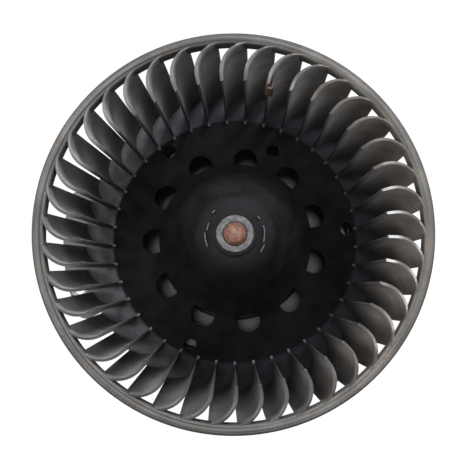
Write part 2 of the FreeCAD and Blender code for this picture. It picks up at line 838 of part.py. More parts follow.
def end_plate():
    """The pressed plate that closes the can and carries the lower bearing in its nose."""
    nose_r = bearing_seat_r + bearing_nose_wall
    body = turned([
        (0, lower_nose_z), (nose_r, lower_nose_z), (nose_r, end_plate_bottom_z),
        (card_r, end_plate_bottom_z), (card_r, end_plate_top_z),
        (bearing_seat_r, end_plate_top_z),
        (bearing_seat_r, lower_nose_z + bearing_nose_wall),
        (0, lower_nose_z + bearing_nose_wall)],
        [0, 1.5, 1.0, 0, 0, 0.3, 0.8, 0])
    z0 = end_plate_bottom_z - 1
    z1 = end_plate_top_z + 1
    cuts = end_holes(z0, z1) + terminal_windows(terminal_clear, z0, z1)
    cuts += bore_ring(3, cover_screw_d / 2 - 0.2, cover_boss_pitch_r, z0, z1)
    return body.cut(Part.makeCompound(cuts))


def brush_card():
    """The insulating card that the brush gear is riveted to."""
    z0 = end_plate_top_z
    card = tube(card_r, card_bore_r, z0, card_top_z)
    cuts = end_holes(z0 - 1, card_top_z + 1)
    cuts += terminal_windows(terminal_slot_gap, z0 - 1, card_top_z + 1)
    cuts += bore_ring(3, cover_screw_d / 2 + 0.3, cover_boss_pitch_r, z0 - 1, card_top_z + 1)
    return card.cut(Part.makeCompound(cuts))


def brush(angle):
    """A worn carbon block whose hollow face fits round the commutator."""
    z0 = brush_z - brush_h / 2
    z1 = brush_z + brush_h / 2
    carbon = block(commutator_r - 3, brush_outer_r, -brush_w / 2, brush_w / 2, z0, z1)
    return spun(carbon.cut(disc(brush_inner_r, z0 - 1, z1 + 1)), angle)


def brush_holder(angle):
    """A folded brass box with a closed back and a slot for the brush's lead."""
    w = brush_w / 2 + brush_side_gap
    h = brush_h / 2 + brush_side_gap
    t = holder_wall
    box = block(holder_inner_r, holder_back_r, -w - t, w + t, brush_z - h - t, brush_z + h + t)
    hollow = block(holder_inner_r - 1, holder_back_r - t, -w, w, brush_z - h, brush_z + h)
    slot = block(holder_inner_r + 2, holder_back_r - 2 * t, -holder_slot_w / 2,
                 holder_slot_w / 2, brush_z + h - 1, brush_z + h + t + 1)
    return spun(box.cut(hollow).cut(slot), angle)


def brush_spring(angle):
    """The spring behind the brush, drawn as closed turns with a stem between them."""
    start = brush_outer_r + seat_gap
    end = holder_back_r - holder_wall - seat_gap
    pitch = (end - start - spring_wire) / (spring_turns - 1)
    outer = spring_coil_r + spring_wire / 2
    turn = tube(outer, outer - spring_wire, start, start + spring_wire)
    stem = block(outer - spring_wire, outer, -spring_wire / 2, spring_wire / 2,
                 start + spring_wire / 2, start + pitch + spring_wire / 2)
    pieces = []
    for i in range(spring_turns):
        ahead = FreeCAD.Vector(0, 0, pitch * i)
        ring = turn.copy()
        ring.translate(ahead)
        pieces.append(ring)
        if i < spring_turns - 1:
            link = spun(stem, 180.0 * i)
            link.translate(ahead)
            pieces.append(link)
    spring = pieces[0].fuse(pieces[1:])
    spring.rotate(FreeCAD.Vector(0, 0, 0), FreeCAD.Vector(0, 1, 0), 90)
    spring.translate(FreeCAD.Vector(0, 0, brush_z))
    return spun(spring, angle)


def choke_parts():
    """Two wound ferrite rods that lie on the card beside the terminals."""
    rods = []
    coils = []
    z = card_top_z + choke_coil_r + seat_gap
    along = FreeCAD.Vector(0, 1, 0)
    pitch = choke_coil_length / choke_turns
    for side in (1, -1):
        rod = Part.makeCylinder(choke_rod_r, choke_length,
                                FreeCAD.Vector(choke_pitch_r, -choke_length / 2, z), along)
        low = FreeCAD.Vector(choke_pitch_r, -choke_coil_length / 2, z)
        coil = Part.makeCylinder(choke_coil_r - choke_wire / 2, choke_coil_length, low, along)
        turns = []
        for i in range(choke_turns):
            start = low + along * (pitch * i + (pitch - choke_wire) / 2)
            turns.append(Part.makeCylinder(choke_coil_r, choke_wire, start, along))
        coil = coil.fuse(turns).cut(rod)
        rods.append(spun(rod, side * choke_angle))
        coils.append(spun(coil, side * choke_angle))
    return Part.makeCompound(rods), Part.makeCompound(coils)


def suppressor():
    """The capacitor that stands on the card, opposite the terminals."""
    z0 = card_top_z
    outline = [
        (suppressor_r - suppressor_t / 2, -suppressor_w / 2),
        (suppressor_r + suppressor_t / 2, -suppressor_w / 2),
        (suppressor_r + suppressor_t / 2, suppressor_w / 2),
        (suppressor_r - suppressor_t / 2, suppressor_w / 2)]
    return prism(outline, z0, z0 + suppressor_h, [1.2] * 4)


def terminal(side):
    """A brass strip from the card, through the end plate, out into the connector."""
    middle = side * terminal_pitch / 2
    leg_x = -terminal_leg_r
    tip_x = plug_mouth_x + terminal_tip_inset
    t = terminal_t
    y0 = middle - terminal_w / 2
    y1 = middle + terminal_w / 2
    foot = block(leg_x - t, leg_x + terminal_foot, y0, y1, card_top_z, card_top_z + t)
    leg = block(leg_x - t, leg_x, y0, y1, plug_z - t / 2, card_top_z + t)
    blade = block(tip_x, leg_x, y0, y1, plug_z - t / 2, plug_z + t / 2)
    tip_edges = [e for e in blade.Edges if abs(e.BoundBox.XMax - tip_x) < 1e-6
                 and e.BoundBox.YLength > terminal_w / 2]
    blade = blade.makeChamfer(t * 0.3, tip_edges)
    return foot.fuse([leg, blade])


# Rear cover


def cover_slots():
    """Cooling slots through the cover's base, kept clear of its screw bosses."""
    slots = []
    step = 360.0 / cover_slot_count
    for i in range(cover_slot_count):
        if i % 3 == 0:
            continue
        slot = block(cover_slot_inner_r, cover_slot_outer_r, -cover_slot_w / 2,
                     cover_slot_w / 2, cover_bottom_z - 1, cover_bottom_z + cover_wall + 1)
        end = disc(cover_slot_w / 2, cover_bottom_z - 1, cover_bottom_z + cover_wall + 1,
                   cover_slot_outer_r)
        slots.append(spun(slot.fuse(end), step * i))
    return slots


def plug_shell():
    """The connector's shroud on the cover's side, with a keying rib on one wall."""
    half_w = plug_cavity_w / 2
    half_h = plug_cavity_h / 2
    outer = block(plug_mouth_x, -cover_inner_r + 1.0, -half_w - plug_wall, half_w + plug_wall,
                  plug_z - half_h - plug_wall, plug_z + half_h + plug_wall)
    cavity = block(plug_mouth_x - 1, -cover_r, -half_w, half_w, plug_z - half_h, plug_z + half_h)
    key = block(plug_mouth_x, -cover_r, half_w - plug_key_t, half_w + plug_wall / 2,
                plug_z + half_h / 2 - plug_key_w / 2, plug_z + half_h / 2 + plug_key_w / 2)
    return outer, cavity.cut(key)


def rear_cover():
    """The moulded cap over the motor's lower end, with the connector on its side."""
    b = cover_bottom_z
    shell = turned([
        (0, b), (cover_r, b), (cover_r, cover_top_z), (cover_inner_r, cover_top_z),
        (cover_inner_r, b + cover_wall), (0, b + cover_wall)],
        [0, cover_foot_round, 0.5, 0.5, 0.8, 0])
    shroud, cavity = plug_shell()
    inside = disc(cover_inner_r, b + cover_wall, cover_top_z)
    bosses = bore_ring(3, cover_boss_r, cover_boss_pitch_r, b, end_plate_bottom_z)
    shank = cover_screw_d / 2 + 0.2
    head = cover_screw_head_r + 0.2
    cuts = bore_ring(3, shank, cover_boss_pitch_r, b - 1, end_plate_bottom_z + 1)
    cuts += bore_ring(3, head, cover_boss_pitch_r, b - 1, b + cover_screw_head_t + 0.6)
    cuts += cover_slots()
    cuts += terminal_slits()
    shell = shell.fuse(shroud.cut(inside)).fuse(bosses)
    return shell.cut(Part.makeCompound(cuts)).cut(cavity)


def terminal_slits():
    """Slits in the cover's side that the terminal blades pass through."""
    slits = []
    g = terminal_slot_gap
    for side in (-1, 1):
        middle = side * terminal_pitch / 2
        slits.append(block(-cover_r - 1, -cover_inner_r + 2, middle - terminal_w / 2 - g,
                           middle + terminal_w / 2 + g, plug_z - terminal_t / 2 - g,
                           plug_z + terminal_t / 2 + g))
    return slits


def cover_screws():
    """Three small screws, heads sunk in the cover's base, threaded into the end plate."""
    b = cover_bottom_z
    head_z = b + 0.6
    shank_z = head_z + cover_screw_head_t
    screw_r = cover_screw_d / 2 - 0.2
    screw = turned([
        (0, head_z), (cover_screw_head_r, head_z), (cover_screw_head_r, shank_z),
        (screw_r, shank_z), (screw_r, card_top_z - 0.4), (0, card_top_z - 0.4)],
        [0, 0.6, 0, 0, 0.4, 0])
    drive = block(-cover_screw_head_r, cover_screw_head_r, -0.4, 0.4, b, head_z + 0.9)
    cross = drive.fuse(spun(drive, 90))
    screw = screw.cut(cross)
    screw.translate(FreeCAD.Vector(cover_boss_pitch_r, 0, 0))
    return Part.makeCompound(ring_of(screw, 3))


# Flange, bracket and isolators


def flange_ear(width_deg, angle):
    """One ear: a sector of the flange that reaches past the wheel, corners rounded."""
    half = math.radians(width_deg / 2)
    inner = flange_r - 6
    outer = flange_ear_r

    def at(radius, turn):
        return FreeCAD.Vector(radius * math.cos(turn), radius * math.sin(turn), 0)

    edges = [
        Part.makeLine(at(inner, -half), at(outer, -half)),
        Part.Arc(at(outer, -half), at(outer, 0), at(outer, half)).toShape(),
        Part.makeLine(at(outer, half), at(inner, half)),
        Part.makeLine(at(inner, half), at(inner, -half)),
    ]
    plate = Part.Face(Part.Wire(edges)).extrude(FreeCAD.Vector(0, 0, flange_t))
    corners = [e for e in plate.Edges
               if e.BoundBox.ZLength > flange_t / 2 and e.CenterOfMass.Length > outer - 2]
    return spun(plate.makeFillet(ear_round, corners), angle)


def mounting_flange():
    """The moulded flange: a sunk well round the motor and three ears past the wheel."""
    floor_z = well_floor_z - well_floor_t
    collar_r = well_opening_r + collar_wall
    collar_z = floor_z - collar_depth + well_floor_t
    inner_wall = well_r - well_wall
    body = turned([
        (well_opening_r, well_floor_z), (inner_wall, well_floor_z), (inner_wall, flange_t),
        (flange_r, flange_t), (flange_r, 0), (well_r, 0), (well_r, floor_z),
        (collar_r, floor_z), (collar_r, collar_z), (well_opening_r, collar_z)],
        [0, 1.5, 0.8, 0.6, 0.6, 0, 2.5, 0, 0, 0])
    ears = [flange_ear(flange_lobe_deg, flange_lobe_angle)]
    ears.append(flange_ear(flange_ear_deg, flange_bolt_phase + 120))
    ears.append(flange_ear(flange_ear_deg, flange_bolt_phase - 120))
    bosses = bore_ring(3, bracket_boss_r, isolator_pitch_r, floor_z,
                       well_floor_z + bracket_boss_h, bracket_phase)
    rib = block(collar_r - 0.5, well_r - 1.0, -flange_rib_t / 2, flange_rib_t / 2,
                floor_z - flange_rib_depth, floor_z + 0.5)
    ribs = ring_of(rib, flange_rib_count, flange_rib_phase)
    cuts = bore_ring(3, flange_bolt_d / 2 + sleeve_wall, flange_bolt_r, -1, flange_t + 1,
                     flange_bolt_phase)
    cuts += bore_ring(3, bracket_screw_d / 2, isolator_pitch_r, floor_z - 1,
                      well_floor_z + bracket_boss_h - 2, bracket_phase)
    return body.fuse(ears + bosses + ribs).cut(Part.makeCompound(cuts))


def flange_sleeves():
    """Steel sleeves that take the bolts' load in the three ears."""
    outer = flange_bolt_d / 2 + sleeve_wall
    sleeve = tube(outer, flange_bolt_d / 2, 0, flange_t, flange_bolt_r)
    return Part.makeCompound(ring_of(sleeve, 3, flange_bolt_phase))


def can_seal():
    """The rubber ring between the can and the flange's opening."""
    top = well_floor_z - seal_drop
    inner = can_r + seat_gap
    outer = well_opening_r - seat_gap
    return turned([(inner, top - seal_h), (outer, top - seal_h), (outer, top), (inner, top)],
                  [0.5, 0.5, 1.0, 1.0])


def motor_bracket():
    """The pressed steel ring on the can, with three ears for the isolators."""
    inner = can_r + seat_gap
    outer = inner + bracket_t
    low = bracket_bottom_z - bracket_band_depth
    ring = turned([
        (inner, low), (outer, low), (outer, bracket_bottom_z),
        (outer + bracket_ring_w, bracket_bottom_z), (outer + bracket_ring_w, bracket_z),
        (inner, bracket_z)],
        [0, 0, 1.0, 0, 0, 1.8])
    half = bracket_ear_w / 2
    ear = block(outer + 0.5, isolator_pitch_r, -half, half, bracket_bottom_z, bracket_z)
    ear = ear.fuse(disc(half, bracket_bottom_z, bracket_z, isolator_pitch_r))
    holes = bore_ring(3, isolator_groove_r + seat_gap, isolator_pitch_r,
                      bracket_bottom_z - 1, bracket_z + 1, bracket_phase)
    ring = ring.fuse(ring_of(ear, 3, bracket_phase))
    return ring.cut(Part.makeCompound(holes))


def isolator(index):
    """A rubber grommet in one ear of the bracket."""
    g = seat_gap
    top = well_floor_z - well_floor_t
    hole = bracket_screw_d / 2 + g
    grommet = turned([
        (hole, isolator_bottom_z), (isolator_r, isolator_bottom_z),
        (isolator_r, bracket_bottom_z - g), (isolator_groove_r, bracket_bottom_z - g),
        (isolator_groove_r, bracket_z + g), (isolator_r, bracket_z + g), (isolator_r, top),
        (hole, top)],
        [0, 0.8, 0.3, 0, 0, 0.3, 0.8, 0])
    grommet.translate(FreeCAD.Vector(isolator_pitch_r, 0, 0))
    return spun(grommet, bracket_phase + 120.0 * index)


def bracket_screws():
    """Three flanged screws that hold the isolators to the flange's bosses."""
    r = bracket_screw_d / 2
    low = isolator_bottom_z - bracket_screw_head_t
    tip = well_floor_z + bracket_boss_h - 3
    screw = turned([
        (0, low - 1.6), (bracket_screw_head_r * 0.7, low - 1.6),
        (bracket_screw_head_r * 0.7, low + 1.0), (bracket_screw_head_r, low + 1.0),
        (bracket_screw_head_r, isolator_bottom_z), (r, isolator_bottom_z), (r, tip), (0, tip)],
        [0, 0.8, 0, 0.4, 0.3, 0, 0.8, 0])
    recess = prism([(1.9 * math.cos(math.radians(60 * i)), 1.9 * math.sin(math.radians(60 * i)))
                    for i in range(6)], low - 3, low + 0.6)
    screw = screw.cut(recess)
    screw.translate(FreeCAD.Vector(isolator_pitch_r, 0, 0))
    return Part.makeCompound(ring_of(screw, 3, bracket_phase))


os.makedirs("parts", exist_ok=True)

save("fan_wheel", fan_wheel())
save("wheel_bush", wheel_bush())
save("balance_clip", balance_clip())
save("motor_shaft", motor_shaft())
save("armature_core", armature_core())
save("armature_insulators", armature_insulators())
save("armature_winding", armature_winding())
save("commutator_hub", commutator_hub())
save("commutator_bars", commutator_bars())
save("thrust_washer_upper", thrust_washer(can_top_z - end_play - washer_t))
save("thrust_washer_lower", thrust_washer(commutator_bottom_z - washer_t))

save("motor_can", motor_can())
save("magnet_left", magnet(180.0))
save("magnet_right", magnet(0.0))
save("magnet_springs", magnet_springs())
save("bearing_upper", bearing(upper_bearing_z))
save("bearing_retainer_upper", bearing_retainer(can_top_z - can_end_t, upper_bearing_z))
save("bearing_lower", bearing(lower_bearing_z))
save("bearing_retainer_lower", bearing_retainer(end_plate_top_z, lower_bearing_z))
save("end_plate", end_plate())
save("brush_card", brush_card())
save("brush_holder_front", brush_holder(-90.0))
save("brush_holder_rear", brush_holder(90.0))
save("brush_front", brush(-90.0))
save("brush_rear", brush(90.0))
save("brush_spring_front", brush_spring(-90.0))
save("brush_spring_rear", brush_spring(90.0))
choke_cores, choke_windings = choke_parts()
save("choke_cores", choke_cores)
save("choke_windings", choke_windings)
save("suppressor", suppressor())
save("terminal_front", terminal(-1))
save("terminal_rear", terminal(1))
save("rear_cover", rear_cover())
save("cover_screws", cover_screws())
save("mounting_flange", mounting_flange())
save("flange_sleeves", flange_sleeves())
save("can_seal", can_seal())
save("motor_bracket", motor_bracket())
for number in range(3):
    save("isolator_" + str(number + 1), isolator(number))
save("bracket_screws", bracket_screws())
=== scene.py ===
import json
import math

import bmesh
import bpy
import numpy as np
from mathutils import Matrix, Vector


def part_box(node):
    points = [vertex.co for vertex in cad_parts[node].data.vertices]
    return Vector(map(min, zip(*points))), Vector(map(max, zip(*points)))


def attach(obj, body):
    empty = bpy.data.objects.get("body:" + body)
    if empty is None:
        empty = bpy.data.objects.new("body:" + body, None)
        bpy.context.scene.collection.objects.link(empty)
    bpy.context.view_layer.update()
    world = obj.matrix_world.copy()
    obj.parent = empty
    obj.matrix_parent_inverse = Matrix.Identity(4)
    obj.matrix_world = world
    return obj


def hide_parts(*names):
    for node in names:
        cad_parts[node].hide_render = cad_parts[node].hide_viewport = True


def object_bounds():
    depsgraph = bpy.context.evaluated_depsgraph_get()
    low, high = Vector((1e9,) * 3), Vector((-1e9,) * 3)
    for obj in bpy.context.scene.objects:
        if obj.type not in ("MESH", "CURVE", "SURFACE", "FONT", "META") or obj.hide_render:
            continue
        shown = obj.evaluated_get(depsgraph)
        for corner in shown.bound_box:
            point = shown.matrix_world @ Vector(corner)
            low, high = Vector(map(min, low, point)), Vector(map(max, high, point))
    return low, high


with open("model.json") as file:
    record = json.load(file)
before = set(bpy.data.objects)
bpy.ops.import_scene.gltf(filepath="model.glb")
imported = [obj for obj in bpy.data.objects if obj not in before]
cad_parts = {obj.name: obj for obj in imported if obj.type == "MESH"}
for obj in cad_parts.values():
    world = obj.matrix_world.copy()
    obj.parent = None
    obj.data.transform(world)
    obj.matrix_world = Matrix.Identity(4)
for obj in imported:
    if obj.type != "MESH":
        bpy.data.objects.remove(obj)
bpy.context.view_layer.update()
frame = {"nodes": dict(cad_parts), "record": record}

# %% [markdown]
# Car cabin blower
# A blower like this pushes air through a car's heater. It is seen straight into the open side
# of its fan wheel. The solid model holds every part at its true size and place. The wheel
# fills the photograph, so it is built again here with soft edges and fine lines, and every
# part gets a finish with the wear that shows.
# The wheel's main sizes come first, because its finishes and its pieces both need them. They
# could all be typed in, but its outer sizes are measured from the solid wheel, so that the
# two can't drift apart. Lengths are millimetres until they reach Blender, which gets metres.

# %% Measures of the wheel
MM = 0.001
wheel_low, wheel_high = (np.array(corner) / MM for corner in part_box("fan_wheel"))
WHEEL_R = wheel_high[0]
WHEEL_DEPTH = 67.0  # from the ring's face down to the edge of the hub's skirt
WALL = 1.8
SKIRT = math.tan(math.radians(33.0))  # how far the skirt falls for each millimetre outwards
UPRIGHT_WALL = WALL * math.hypot(1.0, SKIRT)  # the sloping wall, measured straight down
RING_TOP = wheel_low[2] + UPRIGHT_WALL + WHEEL_DEPTH  # within 0.2 mm of the ring's face
EDGE_R = WHEEL_R - 3.1  # the skirt's outer edge, under the blades' tips
EDGE_Z = RING_TOP - WHEEL_DEPTH
STEP_R = 50.5  # where the floor between the blades starts
BLADE_IN = 51.6  # the blades' inner edges
print("wheel:", round(2 * WHEEL_R, 2), "mm across, ring's face at", round(wheel_high[2], 2), "mm")


# %% [markdown]
# Camera
# The real camera stood about 23 cm in front of the wheel. A camera could be placed by eye, but
# the circles in the photograph say more: they shrink towards one point to the right of and
# below the middle, and the blades' tops sit higher than the ring's circle asks for. So this
# camera stands a little below the wheel's axis and is tilted by a few degrees. The photograph
# was cropped afterwards, and the lens's shift does that without bending anything.

# %% Camera
PHOTO_PX = 470.0
FOCAL_PX = 679.6  # focal length, in pixels of the photograph
CROP_PX = (-20.6, 16.2)  # how far the crop moved the middle of the picture
SENSOR_W = 36.0
CAMERA_PLACE = (0.96, -16.42, 301.91)
CAMERA_TILT = (2.5, -1.5, 0.0)  # degrees

camera_data = bpy.data.cameras.new("photo_camera")
camera_data.sensor_width = SENSOR_W
camera_data.lens = FOCAL_PX / PHOTO_PX * SENSOR_W
camera_data.shift_x = CROP_PX[0] / PHOTO_PX
camera_data.shift_y = CROP_PX[1] / PHOTO_PX
camera_data.clip_start = 0.01
camera_data.clip_end = 50.0
camera = bpy.data.objects.new("photo_camera", camera_data)
camera.location = Vector(CAMERA_PLACE) * MM
camera.rotation_euler = [math.radians(angle) for angle in CAMERA_TILT]
bpy.context.scene.collection.objects.link(camera)
bpy.context.scene.camera = camera
print("camera: lens", round(camera_data.lens, 2), "mm, tilted by", CAMERA_TILT, "degrees")


# %% [markdown]
# Colours and nodes
# A finish in Blender is a small graph of nodes. Screens and photographs give colours as hex
# codes with a curve in them, while light adds up in straight numbers, so one function takes
# the curve out. The nodes could be placed by hand in the editor. Here one function adds a
# node, sets its options and fills or links its inputs, and every finish below is made of it.

# %% Colours and nodes
EASED = {"interpolation_type": "SMOOTHSTEP"}  # an S-shaped step instead of a straight one
COLOURS = {"data_type": "RGBA", "out": 2}  # a Mix node for colours, whose result is output 2
TIMES = {"operation": "MULTIPLY"}


def srgb(code):
    """A hex colour as straight red, green and blue with alpha one.

    Each part p of 255 gives p / 12.92 near black, else ((p + 0.055) / 1.055) to the 2.4.
    """
    parts = [int(code[i:i + 2], 16) / 255.0 for i in (1, 3, 5)]
    linear = [p / 12.92 if p <= 0.04045 else ((p + 0.055) / 1.055) ** 2.4 for p in parts]
    return (*linear, 1.0)


def add(tree, kind, inputs=(), out=0, **settings):
    """Add a node with its settings, set or link its inputs, and give one of its outputs.

    The inputs are a list in the node's own order, or a dictionary by name or number.
    """
    node = tree.nodes.new("ShaderNode" + kind)
    for name, value in settings.items():
        setattr(node, name, value)
    pairs = inputs.items() if isinstance(inputs, dict) else enumerate(inputs)
    for name, value in pairs:
        if isinstance(value, bpy.types.NodeSocket):
            tree.links.new(value, node.inputs[name])
        else:
            node.inputs[name].default_value = value
    return node.outputs[out]


print("black plastic in straight numbers:", [round(part, 4) for part in srgb("#2b2b2d")])


# %% [markdown]
# Patterns that the wear is made of
# Dust, stains and rust are never even. An image could hold them, but a computed noise has no
# seams and no end, and its scale can be a real size: the width of one cloud in millimetres.
# Dust lies in patches of about a centimetre, where the air slows down. A grain of it is some
# 0.05 mm wide, and a mould's texture about 0.1 mm. Both are too fine to show here, so they are
# drawn at half a millimetre and more. The other helpers ask where a
# point lies and which way it faces, because dust settles on what looks up.

# %% Patterns that the wear is made of
DUST_PATCH = 9.0
DUST_GRAIN = 0.6
MOULD_GRAIN = 0.5


def mottled(tree, width, start, end, low=0.0, high=1.0, detail=3.0, rough=0.55):
    """A patchy value between low and high, its clouds about as wide as the width in mm.

    Noise runs from 0 to 1. Up to start it gives low, from end on it gives high, and it
    follows an S-shaped step in between.
    """
    place = add(tree, "TexCoord", out="Object")
    cloud = add(tree, "TexNoise", {"Vector": place, "Scale": 1.0 / (width * MM),
                                   "Detail": detail, "Roughness": rough})
    return add(tree, "MapRange", [cloud, start, end, low, high], **EASED)


def fine_relief(tree, shader, width, depth, strength, detail=2.0):
    """Small bumps of a width and a depth in mm: they tilt the light, not the surface."""
    place = add(tree, "TexCoord", out="Object")
    cloud = add(tree, "TexNoise", {"Vector": place, "Scale": 1.0 / (width * MM),
                                   "Detail": detail, "Roughness": 0.55})
    tilted = add(tree, "Bump", {"Height": cloud, "Strength": strength, "Distance": depth * MM})
    tree.links.new(tilted, shader.inputs["Normal"])


def facing_up(tree):
    """How far the surface faces the open side: 1 when it looks up, -1 when it looks down."""
    normal = add(tree, "TexCoord", out="Normal")
    return add(tree, "SeparateXYZ", [normal], out="Z")


def height_and_radius(tree):
    """A point's height and its distance from the shaft's axis, in metres."""
    place = add(tree, "TexCoord", out="Object")
    height = add(tree, "SeparateXYZ", [place], out="Z")
    flat = add(tree, "VectorMath", [place, (1.0, 1.0, 0.0)], **TIMES)
    return height, add(tree, "VectorMath", [flat], out="Value", operation="LENGTH")


print("dust in patches of", DUST_PATCH, "mm and grains of", DUST_GRAIN, "mm")


# %% [markdown]
# Moulded plastics
# The wheel, the flange and the rear cover are injection moulded. Fresh from the mould they are
# even and slightly glossy. In a heater they gather a grey film, and that is what the eye sees:
# the film is thicker on faces that look up, thins out in patches and makes the gloss dull.
# The dust could be a second skin of geometry, but a film this thin has no edge. So one value
# says how much of the plastic the dust hides, and it drives the colour and the gloss together.

# %% Moulded plastics
materials = {}


def new_surface(name, metallic=0.0, specular=0.5):
    """An empty material, its tree of nodes and its main shader."""
    made = bpy.data.materials.new(name)
    made.use_nodes = True
    shader = next(n for n in made.node_tree.nodes if n.type == "BSDF_PRINCIPLED")
    shader.inputs["Metallic"].default_value = metallic
    shader.inputs["Specular IOR Level"].default_value = specular
    return made, made.node_tree, shader


def coat(tree, shader, colour, rough):
    """Link the shader's colour and its roughness."""
    tree.links.new(colour, shader.inputs["Base Color"])
    tree.links.new(rough, shader.inputs["Roughness"])


def dust_cover(tree, film, patches, grains):
    """How much the dust hides, from 0 to 1: the film times its patches times its grains."""
    patchy = add(tree, "Math", [film, patches], **TIMES)
    return add(tree, "Math", [patchy, grains], **TIMES, use_clamp=True)


def dusty_plastic(name, plastic, dust, film=0.25, on_top=0.7):
    """Moulded plastic under dust: film on upright faces, on_top on those that look up."""
    made, tree, shader = new_surface(name, specular=0.4)
    thick = add(tree, "MapRange", [facing_up(tree), 0.2, 1.0, film, on_top], **EASED)
    patches = mottled(tree, DUST_PATCH, 0.25, 0.75, low=0.45, detail=4.0)
    grains = mottled(tree, 0.7, 0.3, 0.7, low=0.85, detail=2.0)
    cover = dust_cover(tree, thick, patches, grains)
    colour = add(tree, "Mix", {0: cover, 6: srgb(plastic), 7: srgb(dust)}, **COLOURS)
    dull = add(tree, "MapRange", [cover, 0.0, 0.8, 0.42, 0.8], **EASED)
    coat(tree, shader, colour, dull)
    fine_relief(tree, shader, 0.45, 0.02, 0.5)
    return made


# polypropylene of the wheel: near black, soft gloss, warm grey dust
materials["moulded_polypropylene"] = dusty_plastic("dusty_polypropylene", "#2b2b2d", "#8d8983")
# glass-filled plastic of the flange: the fibres make it greyer and duller
materials["glass_filled_plastic"] = dusty_plastic("dusty_flange_plastic", "#3a3b3e", "#7b7b7d",
                                                  film=0.3, on_top=0.75)
# plastic of the rear cover: black, and cleaner because it sits outside the stream of air
materials["cover_plastic"] = dusty_plastic("cover_plastic", "#1d1d1f", "#77736c",
                                           film=0.08, on_top=0.4)
print("moulded plastics:", ", ".join(materials))


# %% [markdown]
# Metals
# Plated, rolled and sintered metal is told apart by its tint and by how wide its glints are. A
# mirror with one colour would look like new chrome. So the tone drifts a little in clouds of a
# few millimetres, as on parts that were handled, and a grain of about a third of a millimetre
# widens the glints. That grain is drawn coarser than the real one, which wouldn't show.

# %% Metals
METAL_GRAIN = 0.35


def cloudy_surface(name, base, tint, rough, blotch, grain, depth, metallic, specular=0.5):
    """A surface whose tone drifts between two colours, with a fine grain in its gloss."""
    made, tree, shader = new_surface(name, metallic, specular)
    clouds = mottled(tree, blotch, 0.3, 0.75, detail=4.0)
    colour = add(tree, "Mix", {0: clouds, 6: srgb(base), 7: srgb(tint)}, **COLOURS)
    gloss = mottled(tree, grain, 0.25, 0.75, low=rough[0], high=rough[1], detail=2.0)
    coat(tree, shader, colour, gloss)
    fine_relief(tree, shader, grain, depth, 0.5, detail=2.0 if metallic else 3.0)
    return made


def metal(name, base, tint, rough=(0.3, 0.5), blotch=4.0):
    """Bare or plated metal: the tint is its second tone, in blotches of a width in mm."""
    return cloudy_surface(name, base, tint, rough, blotch, METAL_GRAIN, 0.015, metallic=1.0)


materials.update({
    # die-cast zinc: grey and matt, with small dark pores
    "zinc_bush": metal("zinc_bush", "#7b797b", "#545254", rough=(0.6, 0.75), blotch=1.2),
    # stamped silicon steel: dull blue grey
    "lamination_steel": metal("lamination_steel", "#6e6f73", "#55565a", rough=(0.4, 0.6)),
    # copper wire under enamel: glossy and orange brown
    "enamelled_copper": metal("enamelled_copper", "#a8562c", "#7f3d1f", rough=(0.25, 0.4)),
    # copper that brushes rub: lighter, with a dark trace
    "commutator_copper": metal("commutator_copper", "#b4764f", "#6f4630"),
    # zinc-plated sheet of the can, its end plate and the bracket: bright, in cloudy patches
    "plated_steel": metal("plated_steel", "#a3a39c", "#85847c", rough=(0.32, 0.52),
                          blotch=7.0),
    # hardened spring wire and the bearings' retainers: dark and fairly shiny
    "spring_steel": metal("spring_steel", "#8b8c90", "#727377"),
    # sintered bronze bearings: brown and matt, because they are porous
    "sintered_bronze": metal("sintered_bronze", "#8d6c42", "#6d5232", rough=(0.5, 0.7)),
    # stamped brass of the terminals and brush holders: yellow, gone a little brown
    "brass_sheet": metal("brass_sheet", "#c2a35c", "#9a7f43"),
    # zinc-plated screws and sleeves: pale, a little warmer than the can
    "screw_steel": metal("screw_steel", "#9d9d98", "#7c7b75"),
})
print("with metals:", len(materials), "finishes")


# %% [markdown]
# Rust
# The end of the motor's shaft is bare steel and rusts first: orange brown, darker in its
# centre mark and at its rim, with pale scale flaking off. The balance clip is spring steel,
# brown at its bend and nearly black along its legs. Rust could be one colour with noise, but
# here it follows the piece, so the colour changes with the distance from the shaft's axis and
# noise only bends the borders. Rust scatters light like chalk, so neither is made metallic.

# %% Rust
RUST_GRAIN = 0.6
WANDER = 0.5  # how far a border between two colours strays


def rusty_steel(name, colours, borders, rough, blotch, flakes):
    """Dull rust whose colour changes with the distance from the shaft's axis.

    Between the two radii of each border one colour gives way to the next. Spots of the last
    colour and pale flakes lie on top.
    """
    made, tree, shader = new_surface(name, specular=0.4)
    radius = height_and_radius(tree)[1]
    stray = mottled(tree, blotch, 0.2, 0.8, low=-WANDER * MM, high=WANDER * MM, detail=4.0)
    place = add(tree, "Math", [radius, stray], operation="ADD")
    colour = srgb(colours[0])
    for after, (start, end) in zip(colours[1:], borders):
        share = add(tree, "MapRange", [place, start * MM, end * MM], **EASED)
        colour = add(tree, "Mix", {0: share, 6: colour, 7: srgb(after)}, **COLOURS)
    spots = mottled(tree, blotch / 3, 0.42, 0.68, high=0.75)
    colour = add(tree, "Mix", {0: spots, 6: colour, 7: srgb(colours[-1])}, **COLOURS)
    scale = mottled(tree, blotch / 2, 0.5, 0.7, high=0.55, detail=4.0, rough=0.7)
    colour = add(tree, "Mix", {0: scale, 6: colour, 7: srgb(flakes)}, **COLOURS)
    tree.links.new(colour, shader.inputs["Base Color"])
    shader.inputs["Roughness"].default_value = rough
    fine_relief(tree, shader, RUST_GRAIN, 0.08, 0.8, detail=4.0)
    return made


